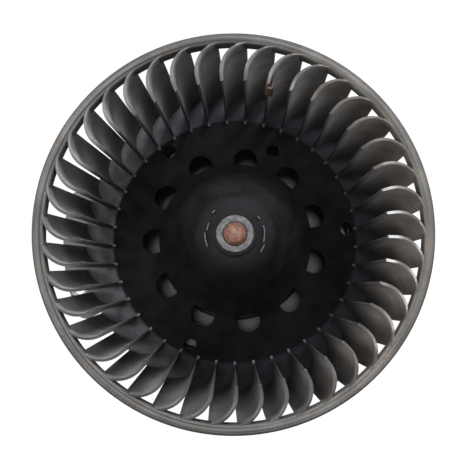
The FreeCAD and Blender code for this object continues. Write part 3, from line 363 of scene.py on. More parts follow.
materials["rusty_shaft_steel"] = rusty_steel(
    "rusty_shaft_steel", ("#3a302c", "#735850", "#6a3b29", "#4a2b1f"),
    ((0.1, 0.5), (1.2, 2.2), (2.6, 3.4)), rough=0.6, blotch=2.4, flakes="#8e7a5e")
materials["rusty_clip_steel"] = rusty_steel(
    "rusty_clip_steel", ("#644b3b", "#3b3430", "#2b2826"),
    ((51.0, 52.6), (53.0, 55.0)), rough=0.75, blotch=3.0, flakes="#6a5a44")
print("with rust:", len(materials), "finishes")


# %% [markdown]
# Resin, fibre, ferrite, carbon and rubber
# None of these reflects like a metal. Pressed phenolic and resin are slightly glossy, while
# fibre, ferrite and rubber are chalky. One finish does for all: two near tones in clouds of a
# few millimetres, and a gloss that only its roughness tells apart.

# %% Resin, fibre, ferrite, carbon and rubber


def matt(name, base, tint, rough=(0.5, 0.7)):
    """A piece that is no metal: two near tones, and a roughness between two values."""
    return cloudy_surface(name, base, tint, rough, 5.0, MOULD_GRAIN, 0.02, 0.0, specular=0.4)


materials.update({
    # pressed phenolic of the brush card and the commutator: red brown, even
    "phenolic_resin": matt("phenolic_resin", "#3b2418", "#2a1a12"),
    # pressed fibre round the armature and of the washers: brick red and chalky
    "fibre_insulation": matt("fibre_insulation", "#7a3327", "#5e281f", rough=(0.7, 0.9)),
    # sintered ferrite of the magnets and the chokes' cores: dark grey, like a fired tile
    "ferrite": matt("ferrite", "#303135", "#232427", rough=(0.55, 0.75)),
    # carbon brushes: black, polished by use
    "carbon": matt("carbon", "#1a1a1c", "#0f0f10", rough=(0.35, 0.5)),
    # dipped resin of the suppressor: brown and glossy
    "capacitor_resin": matt("capacitor_resin", "#5b2a1c", "#4a2116", rough=(0.25, 0.4)),
    # rubber of the isolators and the seal: black and dull
    "black_rubber": matt("black_rubber", "#161617", "#232324", rough=(0.7, 0.9)),
})
print("in all:", len(materials), "finishes")


# %% [markdown]
# Finishes on the solid parts
# A finish could be picked by hand for each solid part. But each already says what it is made
# of, and a table of part and material forgets none.

# %% Finishes on the solid parts
slot_of = {part["node"]: part["material_slot"] for part in frame["record"]["subparts"]}
for node, thing in frame["nodes"].items():
    thing.data.materials.clear()
    thing.data.materials.append(materials[slot_of[node]])
print("finishes on", len(frame["nodes"]), "solid parts")


# %% [markdown]
# Lines round the ring
# Fine streaks go round the ring. Its inner groove gets painted shade at the left, and its outer
# corner gets painted shade where the edge turns down. The grooves are in the geometry too,
# but from this far it is their colour that shows. A streak is noise over the radius and the
# angle: since the angle is scaled down to a small length, each cloud is drawn out along the
# ring. Real streaks are hair-thin, and these are drawn 0.8 mm wide so that they show.

# %% Lines round the ring
STREAK_W = 0.8
STREAK_TURN = 0.002  # metres of noise for each radian round the ring
GROOVE_IN = 2.7  # the inner groove, from the ring's outer edge
# the colour of the ring's dark streaks and of the painted shade in its groove and corner
DIRT_AND_SHADE = "#19191a"


def across(tree, start, end, axis="X"):
    """Nought at one place and one at another, both as shares of the wheel's radius."""
    place = add(tree, "TexCoord", out="Object")
    along = add(tree, "SeparateXYZ", [place], out=axis)
    ends = [start * WHEEL_R * MM, end * WHEEL_R * MM]
    return add(tree, "MapRange", [along, *ends], **EASED)


def ring_lines_and_shade(tree):
    """How dark the ring is: the greatest of its streaks and of the painted shade in its groove
    and at its outer corner.

    The groove's painted shade lies where the radius is within 0.45 mm of its own, and only
    towards the left. The corner's painted shade covers the outermost millimetre, where the edge
    turns down.
    """
    radius = height_and_radius(tree)[1]
    place = add(tree, "TexCoord", out="Object")
    sides = [add(tree, "SeparateXYZ", [place], out=axis) for axis in ("Y", "X")]
    angle = add(tree, "Math", sides, operation="ARCTAN2")
    turned = add(tree, "Math", [angle, STREAK_TURN], **TIMES)
    drawn_out = add(tree, "CombineXYZ", [radius, turned])
    cloud = add(tree, "TexNoise", {"Vector": drawn_out, "Scale": 1 / (STREAK_W * MM),
                                   "Detail": 3.0})
    streaks = add(tree, "MapRange", [cloud, 0.42, 0.72, 0.0, 0.45], **EASED)
    # painted shade in the inner groove, only towards the left
    past = add(tree, "Math", [radius, (WHEEL_R - GROOVE_IN) * MM], operation="SUBTRACT")
    off = add(tree, "Math", [past], operation="ABSOLUTE")
    groove_shade = add(tree, "MapRange", [off, 0.1 * MM, 0.45 * MM, 0.7, 0.0], **EASED)
    groove = add(tree, "Math", [groove_shade, across(tree, 0.5, -0.3)], **TIMES)
    # painted shade over the outer corner, where the edge turns down
    ends = [(WHEEL_R - 1.3) * MM, (WHEEL_R - 0.2) * MM]
    corner = add(tree, "MapRange", [radius, *ends, 0.0, 0.75], **EASED)
    lines = add(tree, "Math", [groove, corner], operation="MAXIMUM")
    return add(tree, "Math", [streaks, lines], operation="MAXIMUM")


print("ring lines: a groove at", round(WHEEL_R - GROOVE_IN, 2), "mm, streaks of", STREAK_W, "mm")


# %% [markdown]
# Ring, gussets and marks
# The whole wheel is one black moulding, but the air has dirtied it unevenly. It could be one
# mesh with one finish that knows every zone. It is easier to follow as a few pieces with a
# finish each. On the ring the dust is grey at the left and warm at the right, brown stains run
# into it, and painted light makes it lighter at the far left and right. The gussets and the
# marks share the ring's recipe, without its stains and its painted side light. The gussets'
# dust is painted lighter at the left as painted light, and the marks' pale colour is a
# painted highlight.

# %% Ring, gussets and marks


def wheel_plastic(name, plastic, dust, film, on_top, blotch, rough, stain=None):
    """The wheel's plastic under a film of dust, whose colour changes from left to right.

    Where the left colour is the lighter one, that change is painted light. A stain's colour is
    given only for the ring. It also thickens the film towards both sides, which is painted
    light, and draws the ring's lines, with their painted shade.
    """
    made, tree, shader = new_surface(name, specular=0.3)
    thick = add(tree, "MapRange", [facing_up(tree), 0.1, 1.0, film, on_top], **EASED)
    # painted light: the film is thickened towards the far left and right, making the ring lighter
    if stain:
        sides = [across(tree, 0.1, 0.7), across(tree, -0.5, -0.9)]
        side_light = add(tree, "Math", sides, operation="ADD")
        half = add(tree, "Math", [side_light, 0.5], **TIMES)
        thick = add(tree, "Math", [thick, half], operation="ADD", use_clamp=True)
    patches = mottled(tree, blotch, 0.28, 0.72, low=0.5, detail=5.0)
    grains = mottled(tree, DUST_GRAIN, 0.3, 0.7, low=0.8, detail=2.0)
    cover = dust_cover(tree, thick, patches, grains)
    # dust colour from left to right; a lighter left one, as on the gussets, is painted light
    sides = {0: across(tree, 0.0, 0.8), 6: srgb(dust[0]), 7: srgb(dust[1])}
    dust_and_side_light = add(tree, "Mix", sides, **COLOURS)
    colour = add(tree, "Mix", {0: cover, 6: srgb(plastic), 7: dust_and_side_light}, **COLOURS)
    if stain:
        spots = mottled(tree, 4.5, 0.46, 0.68, high=0.7, detail=5.0, rough=0.68)
        colour = add(tree, "Mix", {0: spots, 6: colour, 7: srgb(stain)}, **COLOURS)
        # dark streaks, and painted shade in the groove and at the outer corner
        colour = add(tree, "Mix", {0: ring_lines_and_shade(tree), 6: colour, 7: srgb(DIRT_AND_SHADE)}, **COLOURS)
    dull = add(tree, "MapRange", [cover, 0.0, 0.7, *rough], **EASED)
    coat(tree, shader, colour, dull)
    fine_relief(tree, shader, MOULD_GRAIN, 0.02, 0.5, detail=3.0)
    return made


# rubbed and stained by hands and air, painted light at both sides: the wheel's lightest part
ring_plastic = wheel_plastic("wheel_ring_plastic", "#29292a", ("#767776", "#787570"),
                             0.4, 0.8, DUST_PATCH, (0.42, 0.75), stain="#5d5148")
# in the lee of the blades: bluish grey dust, painted lighter at the left as painted light
gusset_plastic = wheel_plastic("wheel_gusset_plastic", "#2c2c2f", ("#77787b", "#4d4d50"),
                               0.4, 0.8, 6.0, (0.5, 0.8))
# raised edges on a clean crown: their pale colour is a painted highlight, drawing thin pale arcs
mark_glint_plastic = wheel_plastic("wheel_mark_glint_plastic", "#2c2c2f", ("#5c5d61", "#5c5d61"),
                             0.3, 0.85, 1.2, (0.5, 0.7))
print("wheel finishes:", ring_plastic.name, gusset_plastic.name, mark_glint_plastic.name)


# %% [markdown]
# The blades
# Air flung outwards leaves its dust on the hollow faces, more towards the tips. Less film is
# put towards the foot, right at the tip and at the bottom of the picture, and that is painted
# shade; at the left two more factors paint light and shade. The slanting tops are rubbed nearly
# clean, so at the right they glint. Painted weights on the mesh could say all this, but the
# places are simple: a radius, a height and a side. Each gives a factor, and the factors
# multiply.

# %% The blades' plastic


def blade_dust_and_shade(tree):
    """The thickness of the blades' dust with painted shade and light in it, and where their
    tops are rubbed to a gloss.

    The film is the product of what the radius, the bottom of the picture, the height, the
    left side and the rubbed tops leave of it. What it loses right at the tips, towards the
    bottom of the picture and towards the foot is painted shade, and the left side's factors
    paint light and shade. At the right it grows evenly with the height, and at the left it
    starts from almost nothing at the foot.
    """
    height, radius = height_and_radius(tree)
    root, tip = (BLADE_IN - 3.0) * MM, (EDGE_R - 6.0) * MM
    film = add(tree, "MapRange", [radius, root, tip, 0.15, 1.0], **EASED)
    tip_start, tip_end = (EDGE_R - 5.0) * MM, (EDGE_R - 1.0) * MM
    # painted shade: less film right at the tips, where they run in under the ring
    shade_at_tips = add(tree, "MapRange", [radius, tip_start, tip_end, 1.0, 0.7], **EASED)
    # painted shade: less film towards the bottom of the picture
    bottom = across(tree, -0.35, -0.8, "Y")
    shade_at_bottom = add(tree, "MapRange", [bottom, 0.0, 1.0, 1.0, 0.72], **EASED)
    for factor in (shade_at_tips, shade_at_bottom):
        film = add(tree, "Math", [film, factor], **TIMES)

    # painted shade: less film towards the foot, steeply at the left and evenly at the right
    steep = across(tree, 0.75, 0.1)
    gentle = add(tree, "Math", [1.0, steep], operation="SUBTRACT")
    even = add(tree, "MapRange", [height, 15.0 * MM, 62.0 * MM, 0.4, 1.0], **EASED)
    falling = add(tree, "MapRange", [height, 16.0 * MM, 66.0 * MM, 0.05, 1.05], **EASED)
    foot_shade_at_left = add(tree, "Math", [falling, steep], **TIMES)
    foot_shade_at_right = add(tree, "Math", [even, gentle], **TIMES)
    upwards = add(tree, "Math", [foot_shade_at_left, foot_shade_at_right], operation="ADD")
    # painted light and shade at the left: one factor lightens the faces, one darkens them
    leftwards = across(tree, -0.35, -0.85)
    painted_left_light = add(tree, "MapRange", [leftwards, 0.0, 1.0, 0.83, 1.4], **EASED)

    tops = add(tree, "MapRange", [facing_up(tree), 0.7, 0.88], **EASED)
    left_on_tops = add(tree, "MapRange", [tops, 0.0, 1.0, 1.0, 0.4], **EASED)
    painted_left_shade = add(tree, "MapRange", [leftwards, 0.0, 1.0, 1.0, 0.6], **EASED)
    for factor in (upwards, painted_left_light, left_on_tops, painted_left_shade):
        film = add(tree, "Math", [film, factor], **TIMES)
    glossy = add(tree, "Math", [tops, across(tree, -0.3, 0.1)], **TIMES)
    return film, glossy


def blade_plastic_of(name):
    """Black plastic under the blades' dust and painted shade, with brown stains and rubbed tops.
    """
    made, tree, shader = new_surface(name, specular=0.6)
    film, glossy = blade_dust_and_shade(tree)
    patches = mottled(tree, 8.0, 0.28, 0.72, low=0.6, detail=5.0)
    grains = mottled(tree, DUST_GRAIN, 0.3, 0.7, low=0.8, detail=2.0)
    # the cover holds the dust together with its painted shade and light
    cover = dust_cover(tree, film, patches, grains)
    sides = {0: across(tree, 0.0, 0.8), 6: srgb("#aaa8a6"), 7: srgb("#9c948c")}
    dust = add(tree, "Mix", sides, **COLOURS)
    stains = mottled(tree, 6.0, 0.45, 0.7, high=0.5, detail=4.0, rough=0.6)
    dust = add(tree, "Mix", {0: stains, 6: dust, 7: srgb("#6a5b50")}, **COLOURS)
    colour = add(tree, "Mix", {0: cover, 6: srgb("#262627"), 7: dust}, **COLOURS)
    dull = add(tree, "MapRange", [cover, 0.0, 0.8, 0.45, 0.65], **EASED)
    less = add(tree, "Math", [glossy, 0.26], **TIMES)
    coat(tree, shader, colour, add(tree, "Math", [dull, less], operation="SUBTRACT"))
    fine_relief(tree, shader, MOULD_GRAIN, 0.015, 0.35, detail=3.0)
    return made


blade_plastic = blade_plastic_of("wheel_blade_plastic")
print("blades:", len(blade_plastic.node_tree.nodes), "nodes in", blade_plastic.name)


# %% [markdown]
# The hub
# Inside the step the bell is out of the stream of air and almost clean, black with a faint
# bloom. The floor between the blades has bluish grey dust, painted lighter at the left as
# painted light. The two could be two materials on one mesh, but a radius tells them apart, and
# the border is soft.

# %% The hub's plastic


def hub_plastic_of(name):
    """Clean black inside the step and grey with dust outside it, both a little cloudy.

    The grey is painted lighter at the left, which is painted light.
    """
    made, tree, shader = new_surface(name, specular=0.1)
    radius = height_and_radius(tree)[1]
    step_start, step_end = (STEP_R - 0.1) * MM, (STEP_R + 1.4) * MM
    outside = add(tree, "MapRange", [radius, step_start, step_end], **EASED)
    patches = mottled(tree, 8.0, 0.28, 0.72, low=0.35, detail=6.0, rough=0.65)
    grains = mottled(tree, DUST_GRAIN, 0.3, 0.7, low=0.75, detail=2.0)
    film = add(tree, "Math", [patches, grains], **TIMES)
    # painted light: the floor's dust colour is lighter at the left, darker towards the right
    sides = {0: across(tree, -0.75, -0.15), 6: srgb("#6c6e71"), 7: srgb("#3a3b40")}
    dust = add(tree, "Mix", sides, **COLOURS)
    dust_and_left_light = add(tree, "Mix", {0: film, 6: srgb("#1d1e20"), 7: dust}, **COLOURS)
    clean = add(tree, "Mix", {0: film, 6: srgb("#0a0a0c"), 7: srgb("#202023")}, **COLOURS)
    colour = add(tree, "Mix", {0: outside, 6: clean, 7: dust_and_left_light}, **COLOURS)
    dull = add(tree, "MapRange", [film, 0.2, 0.9, 0.55, 0.8], **EASED)
    coat(tree, shader, colour, dull)
    fine_relief(tree, shader, MOULD_GRAIN, 0.015, 0.4, detail=3.0)
    return made


hub_plastic = hub_plastic_of("wheel_hub_plastic")
print("hub:", len(hub_plastic.node_tree.nodes), "nodes in", hub_plastic.name)


# %% [markdown]
# Soft corners
# A mould has no sharp corners: each is rounded by some tenths of a millimetre, and the light
# runs along that round edge. Blender's Bevel modifier could round the finished mesh, but it
# doesn't know which radius belongs where. Here each corner of a flat outline gets its own
# radius before the outline is turned or swept, and a wall's inner path is worked out from its
# outer one.

# %% Soft corners


def soften(points, radii, steps=6):
    """Each corner of a closed outline becomes an arc that touches both of its sides.

    An arc's ends lie radius / tan(half the corner's angle) from the corner, and its points
    turn evenly about the centre on the corner's bisector.
    """
    points = np.array(points, float)
    out = []
    for i, (corner, radius) in enumerate(zip(points, radii)):
        if radius <= 0:
            out.append(corner[None])
            continue
        back = points[i - 1] - corner
        ahead = points[(i + 1) % len(points)] - corner
        back /= np.linalg.norm(back)
        ahead /= np.linalg.norm(ahead)
        half = math.acos(float(np.clip(back @ ahead, -1, 1))) / 2
        bisector = (back + ahead) / np.linalg.norm(back + ahead)
        centre = corner + bisector * radius / math.sin(half)
        first = corner + back * radius / math.tan(half) - centre
        last = corner + ahead * radius / math.tan(half) - centre
        turn = math.atan2(first[0] * last[1] - first[1] * last[0], first @ last)
        angles = np.linspace(0, turn, steps + 1)
        across_arc = first[0] * np.cos(angles) - first[1] * np.sin(angles)
        along_arc = first[0] * np.sin(angles) + first[1] * np.cos(angles)
        out.append(centre + np.stack([across_arc, along_arc], 1))
    return np.concatenate(out)


def moved_in(path, distance):
    """A path's inner corners moved sideways, to the right of its run, by a distance.

    Two sides with unit normals m and n meet, once moved, at the corner plus
    (m + n) distance / (1 + m.n).
    """
    path = np.array(path, float)
    run = np.diff(path, axis=0)
    run /= np.linalg.norm(run, axis=1, keepdims=True)
    normal = np.stack([run[:, 1], -run[:, 0]], 1)
    m, n = normal[:-1], normal[1:]
    return path[1:-1] + (m + n) * distance / (1 + (m * n).sum(1, keepdims=True))


print("a softened square has", len(soften([(0, 0), (1, 0), (1, 1), (0, 1)], [0.1] * 4)), "points")


# %% [markdown]
# Turning and repeating
# The ring and the hub are round, and the blades are one shape repeated 41 times. Blender's
# Screw and Array modifiers could do both. Worked out as whole grids of points they take two
# lines each, land at exact angles, and give clean four-sided faces.

# %% Turning and repeating


def lattice(rows, columns, closed_rows):
    """Four-sided faces over a grid whose columns close, and whose rows may close too.

    Point (row i, column j) has the number i times the columns plus j.
    """
    last = rows if closed_rows else rows - 1
    i, j = np.meshgrid(np.arange(last), np.arange(columns), indexing="ij")
    next_row = (i + 1) % rows * columns
    next_column = (j + 1) % columns
    corners = [i * columns + j, i * columns + next_column, next_row + next_column, next_row + j]
    return np.stack(corners, -1).reshape(-1, 4).tolist()


def swept(outline, degrees):
    """The grid of a (radius, height) outline carried round the shaft's axis.

    Point (r, z) goes to (r cos t, r sin t, z) for each angle t.
    """
    r, z = np.asarray(outline).T
    t = np.radians(degrees)[:, None]
    heights = np.broadcast_to(z, (len(t), len(z)))
    return np.stack([r * np.cos(t), r * np.sin(t), heights], -1).reshape(-1, 3)


def lathe(outline, turns):
    """Vertices and faces of a closed outline carried all the way round."""
    degrees = np.linspace(0, 360, turns, endpoint=False)
    return swept(outline, degrees), lattice(turns, len(outline), True)


def turned_copies(vertices, faces, degrees):
    """Copies of one closed piece, each turned about the shaft's axis by its own angle.

    Point (x, y, z) goes to (x cos a - y sin a, x sin a + y cos a, z) for each angle a.
    """
    angles = np.radians(np.asarray(degrees, float))
    c, s = np.cos(angles)[:, None], np.sin(angles)[:, None]
    x, y, z = np.asarray(vertices, float).T
    heights = np.broadcast_to(z, (len(angles), len(z)))
    spun = np.stack([x * c - y * s, x * s + y * c, heights], -1)
    copies = [[i + n * len(x) for i in face] for n in range(len(angles)) for face in faces]
    return spun.reshape(-1, 3), copies


print("a grid of 3 by 4 points has", len(lattice(3, 4, False)), "faces")


# %% [markdown]
# From arrays to a piece of the wheel
# A list of points becomes a mesh, gets its faces turned outwards and is shaded smooth except
# where two faces meet at more than a given angle. Every piece of the wheel then turns with
# the shaft, is made of the wheel's plastic and stands in place of the solid wheel.

# %% From arrays to a piece of the wheel
SMOOTH = {"ring": 50, "blades": 38, "gussets": 30, "hub": 40, "pins": 30, "marks": 50}


def shade_smooth(mesh, smooth_deg):
    """Smooth shading, kept sharp where faces meet at more than the angle in degrees."""
    mesh.polygons.foreach_set("use_smooth", np.full(len(mesh.polygons), True))
    mesh.set_sharp_from_angle(angle=math.radians(smooth_deg))


def mesh_of(name, vertices, faces, smooth_deg):
    """A closed mesh in metres, its faces outward, smooth across edges below an angle."""
    mesh = bpy.data.meshes.new(name)
    mesh.from_pydata((np.asarray(vertices) * MM).tolist(), [], faces)
    work = bmesh.new()
    work.from_mesh(mesh)
    bmesh.ops.recalc_face_normals(work, faces=work.faces)
    work.to_mesh(mesh)
    work.free()
    shade_smooth(mesh, smooth_deg)
    return mesh


def wheel_piece(name, mesh, finish):
    """One finished piece of the wheel."""
    mesh.materials.clear()
    mesh.materials.append(finish)
    thing = bpy.data.objects.new(name, mesh)
    bpy.context.scene.collection.objects.link(thing)
    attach(thing, "rotor")
    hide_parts("fan_wheel")
    print(name, len(mesh.polygons), "faces")


print("smooth up to these degrees:", SMOOTH)


# %% [markdown]
# Ring
# The ring ties the blades' tips, so they don't spread when the wheel spins. It is flat on top
# with two fine grooves round it. It could be cut from a torus, but its face matters most, so
# it is one outline, written from the outer edge inwards and turned about the axis.

# %% Ring
RING_H = 5.8
RING_W = 3.7
RING_TURNS = 480
# each row: distance in from the outer edge, depth below the face, rounding
RING_FACE = [
    (0.0, 0.8, 0.6),
    (1.0, 0.15, 0), (1.15, 0.25, 0), (1.3, 0.1, 0),  # the outer groove
    (1.9, 0.0, 0.5),
    (2.6, 0.1, 0), (2.75, 0.25, 0), (2.9, 0.15, 0),  # the inner groove
    (3.4, 0.4, 0.2), (3.7, 0.9, 0.2),  # the soft inner lip
]


def ring_mesh():
    """The ring: its lower edge, then the rows of its face as (radius, height) points."""
    top, low = wheel_high[2], RING_TOP - RING_H
    corners = [(WHEEL_R - RING_W, low, 0.4), (WHEEL_R, low, 0.5)]
    corners += [(WHEEL_R - inwards, top - down, round_r) for inwards, down, round_r in RING_FACE]
    outline = soften([corner[:2] for corner in corners], [corner[2] for corner in corners])
    return mesh_of("wheel_ring", *lathe(outline, RING_TURNS), SMOOTH["ring"])


wheel_piece("wheel_ring", ring_mesh(), ring_plastic)


# %% [markdown]
# Blades
# Each blade is a straight root that bends through a quarter turn to the ring. It is thicker at
# its foot, because the mould has to let go of it, and its foot is turned a little further
# round than its top. A plane with a Solidify and a Simple Deform modifier comes close, but not
# to a foot that follows the hub's slope. So the blade is a loft: one flat outline, made again
# at a dozen heights, and joined from each to the next. Its top edge falls towards its back,
# and that slant is what catches the light at the right of the photograph.

# %% Blade outline
BLADES = 41
FIRST_BLADE = -3.77  # degrees from the Y axis, fitted to the photograph
BLADE_TURNS = FIRST_BLADE + 360.0 / BLADES * np.arange(BLADES)
BLADE_CURVE = 9.65  # radius of the bend
INNER_SOFT = 0.18  # the inner edge's small chamfer
ROOT_POINTS = 6
BEND_POINTS = 19
SIDE_POINTS = ROOT_POINTS + BEND_POINTS


def slope_height(radius):
    """The height of the hub's sloping skirt: its edge plus the way in times the slope."""
    return EDGE_Z + (EDGE_R - radius) * SKIRT


def blade_outline(inner, thickness, tip, edge):
    """One blade's closed outline at a height, with the radius along Y.

    The back is an arc of a quarter turn about (curve, bend) with the bend's radius plus
    half its thickness, and the front an arc inside it that draws near it towards the tip.
    Towards the shaft the two sides draw in to the thickness of the inner edge.
    """
    bend = math.sqrt(EDGE_R ** 2 - BLADE_CURVE ** 2) - BLADE_CURVE
    turn = np.linspace(0, math.pi / 2, BEND_POINTS)
    outer = BLADE_CURVE + thickness / 2
    inside = outer - thickness + (thickness - tip) * (turn / (math.pi / 2)) ** 1.5
    back = np.stack([BLADE_CURVE - outer * np.cos(turn), bend + outer * np.sin(turn)], 1)
    front = np.stack([BLADE_CURVE - inside * np.cos(turn), bend + inside * np.sin(turn)], 1)
    foot = np.array([[edge / 2, inner + INNER_SOFT], [edge / 2 - INNER_SOFT, inner],
                     [INNER_SOFT - edge / 2, inner], [-edge / 2, inner + INNER_SOFT]])
    run = np.linspace(0, 1, ROOT_POINTS, endpoint=False)[:, None]
    up = foot[3] + (back[0] - foot[3]) * run
    down = foot[0] + (front[0] - foot[0]) * run[::-1]
    return np.concatenate([up, back, front[::-1], down, foot[1:3]])


print(BLADES, "blades,", round(360.0 / BLADES, 2), "degrees apart")


# %% [markdown]
# Lofting the blades
# Between two heights only a few things change: the thickness, the inner edge, the twist and
# the rise. Each is a plain function of the share of the height, so the loft needs no curves.
# The top three outlines lie close together. They make the flat lip along the inner edge and a
# small chamfer round the top.

# %% Lofting the blades
TWIST = -1.57  # degrees by which the tip is turned at the foot
ROOT_TURN = 0.7  # degrees by which the root is turned less
ROOT_IN = 50.9  # the inner edge at the foot
FOOT_THICK, DRAFT = 1.43, 0.3  # thickness at the foot, and how much of it the top lacks
TIP_THICK, EDGE_THICK = 0.85, 0.62
TOP_GAP = 0.3  # the blades end this far below the ring's face
SLANT = 0.5  # how far the top edge falls to the back
# each row: share of the height, chamfer, and whether the inner edge has its full thickness
LEVELS = [(share, 0.0, False) for share in (0.0, 0.1, 0.2, 0.35, 0.5, 0.65, 0.8, 0.9, 0.975)]
LEVELS += [(0.983, 0.0, True), (0.996, 0.0, True), (1.0, 0.09, True)]


def blade_level(share, chamfer, full_edge):
    """One blade's outline in space, at a share s of its height.

    Its point at radius r is turned by TWIST (1 - s), and by a little less near the root, and
    lies at low(r) + (top - low(r)) s, with low(r) inside the skirt. The back is lower by
    SLANT times s to the power 12, which only the topmost outlines feel.
    """
    thickness = FOOT_THICK - DRAFT * share - 2 * chamfer
    inner = BLADE_IN - (BLADE_IN - ROOT_IN) * (1 - share) + chamfer
    flat = blade_outline(inner, thickness, TIP_THICK - 1.6 * chamfer,
                         thickness if full_edge else EDGE_THICK)
    radius = np.hypot(flat[:, 0], flat[:, 1])
    low = slope_height(radius) - WALL / 2
    back = np.zeros(len(flat))
    back[:SIDE_POINTS] = 1.0
    back[-1] = 1.0
    z = low + (RING_TOP - TOP_GAP - low) * share - SLANT * back * share ** 12
    root = np.clip((EDGE_R - radius) / (EDGE_R - BLADE_IN), 0, 1)
    turn = np.radians(TWIST + ROOT_TURN * root) * (1 - share)
    x = flat[:, 0] * np.cos(turn) - flat[:, 1] * np.sin(turn)
    y = flat[:, 0] * np.sin(turn) + flat[:, 1] * np.cos(turn)
    return np.stack([x, y, z], 1)


def blade_mesh():
    """All the blades: the levels joined, closed at both ends, and turned to their places.

    An end is closed by faces from each point of the back to its partner on the front.
    """
    levels = [blade_level(*level) for level in LEVELS]
    count = len(levels[0])
    back, front = range(SIDE_POINTS - 1), 2 * SIDE_POINTS - 1
    end = [[i, i + 1, front - 1 - i, front - i] for i in back]
    end.append([0, front, front + 1, front + 2])
    top = (len(levels) - 1) * count
    faces = lattice(len(levels), count, False)
    faces += [[i + top for i in face[::-1]] for face in end]
    faces += end
    blades = turned_copies(np.concatenate(levels), faces, BLADE_TURNS)
    return mesh_of("wheel_blades", *blades, SMOOTH["blades"])


wheel_piece("wheel_blades", blade_mesh(), blade_plastic)


# %% [markdown]
# Gussets
# At each blade's foot a small wedge stiffens the corner between blade and hub. From above they
# are the row of short ticks round the black bell. Each could be a scaled cube, but its slope
# and its soft crest show, so a five-sided outline is softened and given a thickness.

# %% Gussets
GUSSET_HALF = 0.5
GUSSET_ROOT = 1.0  # how far it reaches into the skirt and under the blade
GUSSET_CREST = 2.0
GUSSET_TOE = 0.8


def gusset_mesh():
    """One wedge for each blade: the outline at -x and at x, joined and closed."""
    inner, outer = STEP_R - 0.7, BLADE_IN + GUSSET_ROOT
    crest = slope_height(ROOT_IN) + GUSSET_CREST
    side = soften([(inner, slope_height(inner) - GUSSET_ROOT),
                   (outer, slope_height(outer) - GUSSET_ROOT),
                   (outer, crest), (ROOT_IN + 0.1, crest),
                   (inner, slope_height(inner) + GUSSET_TOE)], [0, 0, 0, 0.5, 0.3], 4)
    count = len(side)
    faces = lattice(2, count, False)
    faces += [list(range(count)), [2 * count - 1 - i for i in range(count)]]
    vertices = np.concatenate([np.stack([np.full(count, x), side[:, 0], side[:, 1]], 1)
                               for x in (-GUSSET_HALF, GUSSET_HALF)])
    wedges = turned_copies(vertices, faces, BLADE_TURNS + TWIST + ROOT_TURN)
    return mesh_of("wheel_gussets", *wedges, SMOOTH["gussets"])


wheel_piece("wheel_gussets", gusset_mesh(), gusset_plastic)


# %% [markdown]
# Hub
# The hub is a bell over the motor: a small crown that grips the metal bush, a slope down to
# the floor, one fine step where the blades start, and a sleeve hidden inside. A subdivided
# sphere would give a bell too, but not these radii. So its upper path and the same path moved
# in by the wall are one outline, and it is turned about the axis. The bend at the foot of the
# bell is wide, because the photograph shows no edge there.

# %% Hub outline
bush_low, bush_high = (np.array(corner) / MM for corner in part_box("wheel_bush"))
BUSH_R = bush_high[0]
CROWN_Z = RING_TOP - 9.4
BELL_Z = CROWN_Z - 0.5
KNEE_R, KNEE_ROUND = 12.5, 9.0
FOOT_R, FOOT_ROUND = 30.0, 40.0
FLOOR_RISE = 0.45  # the step up to the floor between the blades
SLEEVE_R = 9.3


def hub_outline():
    """The hub's closed section: down its upper side, round the skirt's edge and back under."""
    knee, foot, edge = (KNEE_R, BELL_Z), (FOOT_R, slope_height(FOOT_R)), (EDGE_R, EDGE_Z)
    under = moved_in([(BUSH_R, BELL_Z), knee, foot, edge], WALL)
    step_z = slope_height(STEP_R)
    points = [
        (BUSH_R, CROWN_Z, 0), (BUSH_R + 0.9, CROWN_Z, 0.3), (BUSH_R + 1.5, BELL_Z, 0.3),
        (*knee, KNEE_ROUND), (*foot, FOOT_ROUND),
        (STEP_R, step_z, 0.1), (STEP_R + 0.1, step_z + FLOOR_RISE, 0.15),
        (EDGE_R, EDGE_Z + FLOOR_RISE, 0.3), (EDGE_R, EDGE_Z - UPRIGHT_WALL, 0.3),
        (*under[1], FOOT_ROUND + WALL), (*under[0], 1.5),
        (SLEEVE_R, BELL_Z - WALL, 0.4), (SLEEVE_R, bush_low[2], 0.2),
        (BUSH_R, bush_low[2], 0),
    ]
    return soften([point[:2] for point in points], [point[2] for point in points], 12)


print("hub outline:", len(hub_outline()), "points")


# %% [markdown]
# Holes in the hub
# Eleven vents let air through to cool the motor, and four small holes were left by the tool
# that held the wheel. A hole could be left out of the mesh's grid, but a round hole through a
# slope is easier to cut: a pin stands in each, and the Boolean modifier takes all the pins out
# at once. Each pin widens upwards, which gives the hole the flared mouth that a mould leaves.

# %% Holes in the hub
HUB_TURNS = 528  # 48 steps for each vent
VENTS, VENT_D, VENT_PITCH, FIRST_VENT = 11, 9.3, 33.2, 83.0
TOOL_HOLE_R, TOOL_PITCH, FIRST_TOOL_HOLE = 2.6, 47.0, 6.5
ODD_HOLE = (TOOL_HOLE_R, 40.4, 67.6)
AXIS_R = 0.001  # a turned outline can't touch its axis, so a pin's core is this wide
PIN_TURNS = 72


def pin(radius, pitch, angle):
    """A pin for one hole: slightly narrow below the slope, wider by a millimetre above it."""
    height = slope_height(pitch)
    narrow, wide = radius - 0.05, radius + 1.0
    mouth, top = height - 1.2, height + 4.0
    outline = [(AXIS_R, 0.0), (narrow, 0.0), (narrow, mouth), (wide, top), (AXIS_R, top)]
    vertices, faces = lathe(outline, PIN_TURNS)
    return turned_copies(vertices + np.array([pitch, 0.0, 0.0]), faces, [angle])


def merged(parts):
    """Several lists of vertices and faces as one, each list's faces counted on."""
    vertices, faces = [], []
    for points, sides in parts:
        faces += [[i + len(vertices) for i in side] for side in sides]
        vertices += points.tolist()
    return vertices, faces


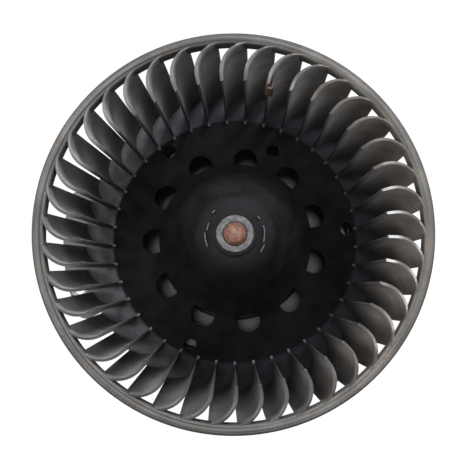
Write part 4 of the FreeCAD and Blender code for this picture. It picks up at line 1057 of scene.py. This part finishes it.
def cut(mesh, cutter):
    """The mesh with the cutter's volume taken out."""
    holder = bpy.data.objects.new("holder", mesh)
    tool = bpy.data.objects.new("tool", cutter)
    for thing in (holder, tool):
        bpy.context.scene.collection.objects.link(thing)
    modifier = holder.modifiers.new("holes", "BOOLEAN")
    modifier.object = tool
    modifier.operation = "DIFFERENCE"
    modifier.solver = "MANIFOLD"
    seen = holder.evaluated_get(bpy.context.evaluated_depsgraph_get())
    result = bpy.data.meshes.new_from_object(seen)
    bpy.data.objects.remove(holder)
    bpy.data.objects.remove(tool)
    return result


def hub_mesh():
    """The turned hub with all its holes cut."""
    holes = [(VENT_D / 2, VENT_PITCH, FIRST_VENT + 360.0 / VENTS * n) for n in range(VENTS)]
    holes += [(TOOL_HOLE_R, TOOL_PITCH, FIRST_TOOL_HOLE + 120.0 * n) for n in range(3)]
    holes += [ODD_HOLE]
    bell = mesh_of("wheel_hub", *lathe(hub_outline(), HUB_TURNS), SMOOTH["hub"])
    pins = mesh_of("hole_cutter", *merged([pin(*hole) for hole in holes]), SMOOTH["pins"])
    result = cut(bell, pins)
    shade_smooth(result, SMOOTH["hub"])
    result.name = "wheel_hub"
    return result


wheel_piece("wheel_hub", hub_mesh(), hub_plastic)


# %% [markdown]
# Marks on the crown
# Left and right of the bush the mould left short raised arcs. They are the only detail on the
# black crown, and a painted highlight in their finish shows them as thin pale lines. A bump
# pattern could draw them, but they stand up far enough to catch light, so each is a soft bar
# swept along its arc.

# %% Marks on the crown
MARK_W, MARK_ROOT, MARK_RISE = 0.55, 0.6, 0.4
MARK_STEPS = 25
# each row: radius, first and last angle in degrees
MARKS = [(10.6, 178.0, 205.0), (9.9, 157.0, 173.0), (10.3, -16.0, 17.0),
         (10.9, -35.0, -20.0), (10.8, 130.0, 138.0), (10.0, 31.0, 38.0)]


def arc_bar(radius, start, end):
    """A soft rectangle carried from the start to the end angle and closed at both."""
    inner, outer = radius - MARK_W / 2, radius + MARK_W / 2
    low, high = BELL_Z - MARK_ROOT, BELL_Z + MARK_RISE
    section = soften([(inner, low), (outer, low), (outer, high), (inner, high)],
                     [0, 0, 0.25, 0.25], 5)
    count = len(section)
    faces = lattice(MARK_STEPS, count, False)
    faces += [list(range(count)), [MARK_STEPS * count - 1 - i for i in range(count)]]
    return swept(section, np.linspace(start, end, MARK_STEPS)), faces


marks = merged([arc_bar(*mark) for mark in MARKS])
marks_mesh = mesh_of("wheel_crown_marks", *marks, SMOOTH["marks"])
wheel_piece("wheel_crown_marks", marks_mesh, mark_glint_plastic)


# %% [markdown]
# Ground
# The photograph's ground is pure white, yet the blower isn't lit as if it lay in a white box.
# A floor that glows white would send too much light up between the blades. So the floor
# answers in two ways: the camera and mirror-like reflections see it white, and every other
# ray finds a pale, ordinary floor. A Light Path node tells the rays apart.

# %% Ground
GROUND_HALF = 2500.0
GROUND_DROP = 0.2  # below the lowest point of the blower
GROUND_TOP = -59.0  # and never higher than this


def ground_finish():
    """White for the camera's own and mirror-like rays, pale and dull for all others."""
    made = bpy.data.materials.new("pale_ground")
    made.use_nodes = True
    tree = made.node_tree
    tree.nodes.clear()
    rays = [add(tree, "LightPath", out=ray)
            for ray in ("Is Camera Ray", "Is Glossy Ray", "Is Transmission Ray")]
    mirrored = add(tree, "Math", rays[1:], operation="MAXIMUM")
    seen = add(tree, "Math", [rays[0], mirrored], operation="MAXIMUM")
    white = add(tree, "Emission", {"Color": (1, 1, 1, 1), "Strength": 1.05})
    pale = add(tree, "BsdfDiffuse", {"Color": srgb("#e6e6e4")})
    both = add(tree, "MixShader", [seen, pale, white])
    output = tree.nodes.new("ShaderNodeOutputMaterial")
    tree.links.new(both, output.inputs["Surface"])
    return made


ground_z = min(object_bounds()[0][2] / MM, GROUND_TOP) - GROUND_DROP
corners = [(-1, -1), (1, -1), (1, 1), (-1, 1)]
floor_mesh = bpy.data.meshes.new("floor")
floor_mesh.from_pydata([Vector((x * GROUND_HALF, y * GROUND_HALF, ground_z)) * MM
                        for x, y in corners], [], [(0, 1, 2, 3)])
floor_mesh.materials.append(ground_finish())
floor = bpy.data.objects.new("floor", floor_mesh)
bpy.context.scene.collection.objects.link(floor)
print("ground at", round(ground_z, 2), "mm")


# %% [markdown]
# Light
# The blades' tops glint white at the right and upper right, their faces are softly lit from
# both sides, and the floor between them is seen against light that comes straight down. One
# large lamp could light all that, but evenly. So five soft lamps share the work, and each is
# named for the side it stands on. The one far away in front is small from where the wheel is,
# so its light reaches the floor between the blades. The sky fills what the lamps leave.

# %% Light
WHEEL_MIDDLE = (0, 0, 40)


def lamp(name, place, target, size, watts):
    """A soft lamp: a rectangle of a size, at a place, aimed at a target, all in mm."""
    data = bpy.data.lights.new(name, "AREA")
    data.shape = "RECTANGLE"
    data.size = size[0] * MM
    data.size_y = size[1] * MM
    data.energy = watts
    thing = bpy.data.objects.new(name, data)
    thing.location = Vector(place) * MM
    aim = Vector(target) * MM - thing.location
    thing.rotation_euler = aim.to_track_quat("-Z", "Y").to_euler()
    bpy.context.scene.collection.objects.link(thing)
    print(name, watts, "watts")


lamp("key_light", (190, 560, 515), WHEEL_MIDDLE, (340, 230), 6.4)
lamp("upper_left_light", (-430, 430, 520), WHEEL_MIDDLE, (150, 150), 0.9)
lamp("left_light", (-640, 60, 240), WHEEL_MIDDLE, (360, 220), 2.8)
lamp("right_light", (640, 160, 220), WHEEL_MIDDLE, (400, 200), 2.2)
lamp("far_front_light", (-60, 80, 2400), (0, 0, 0), (330, 330), 20.0)
world = bpy.data.worlds.new("studio")
world.use_nodes = True
sky = world.node_tree.nodes["Background"]
sky.inputs["Color"].default_value = srgb("#f4f6fa")
sky.inputs["Strength"].default_value = 0.42
bpy.context.scene.world = world
print("sky strength", round(sky.inputs["Strength"].default_value, 2))

# %% [markdown]
# Finish
# The colours are matched to a photograph, which is already a finished picture, so no film
# curve is laid over them.

# %% Finish
bpy.context.scene.view_settings.view_transform = "Standard"
bpy.context.scene.view_settings.look = "None"
print("view transform:", bpy.context.scene.view_settings.view_transform)
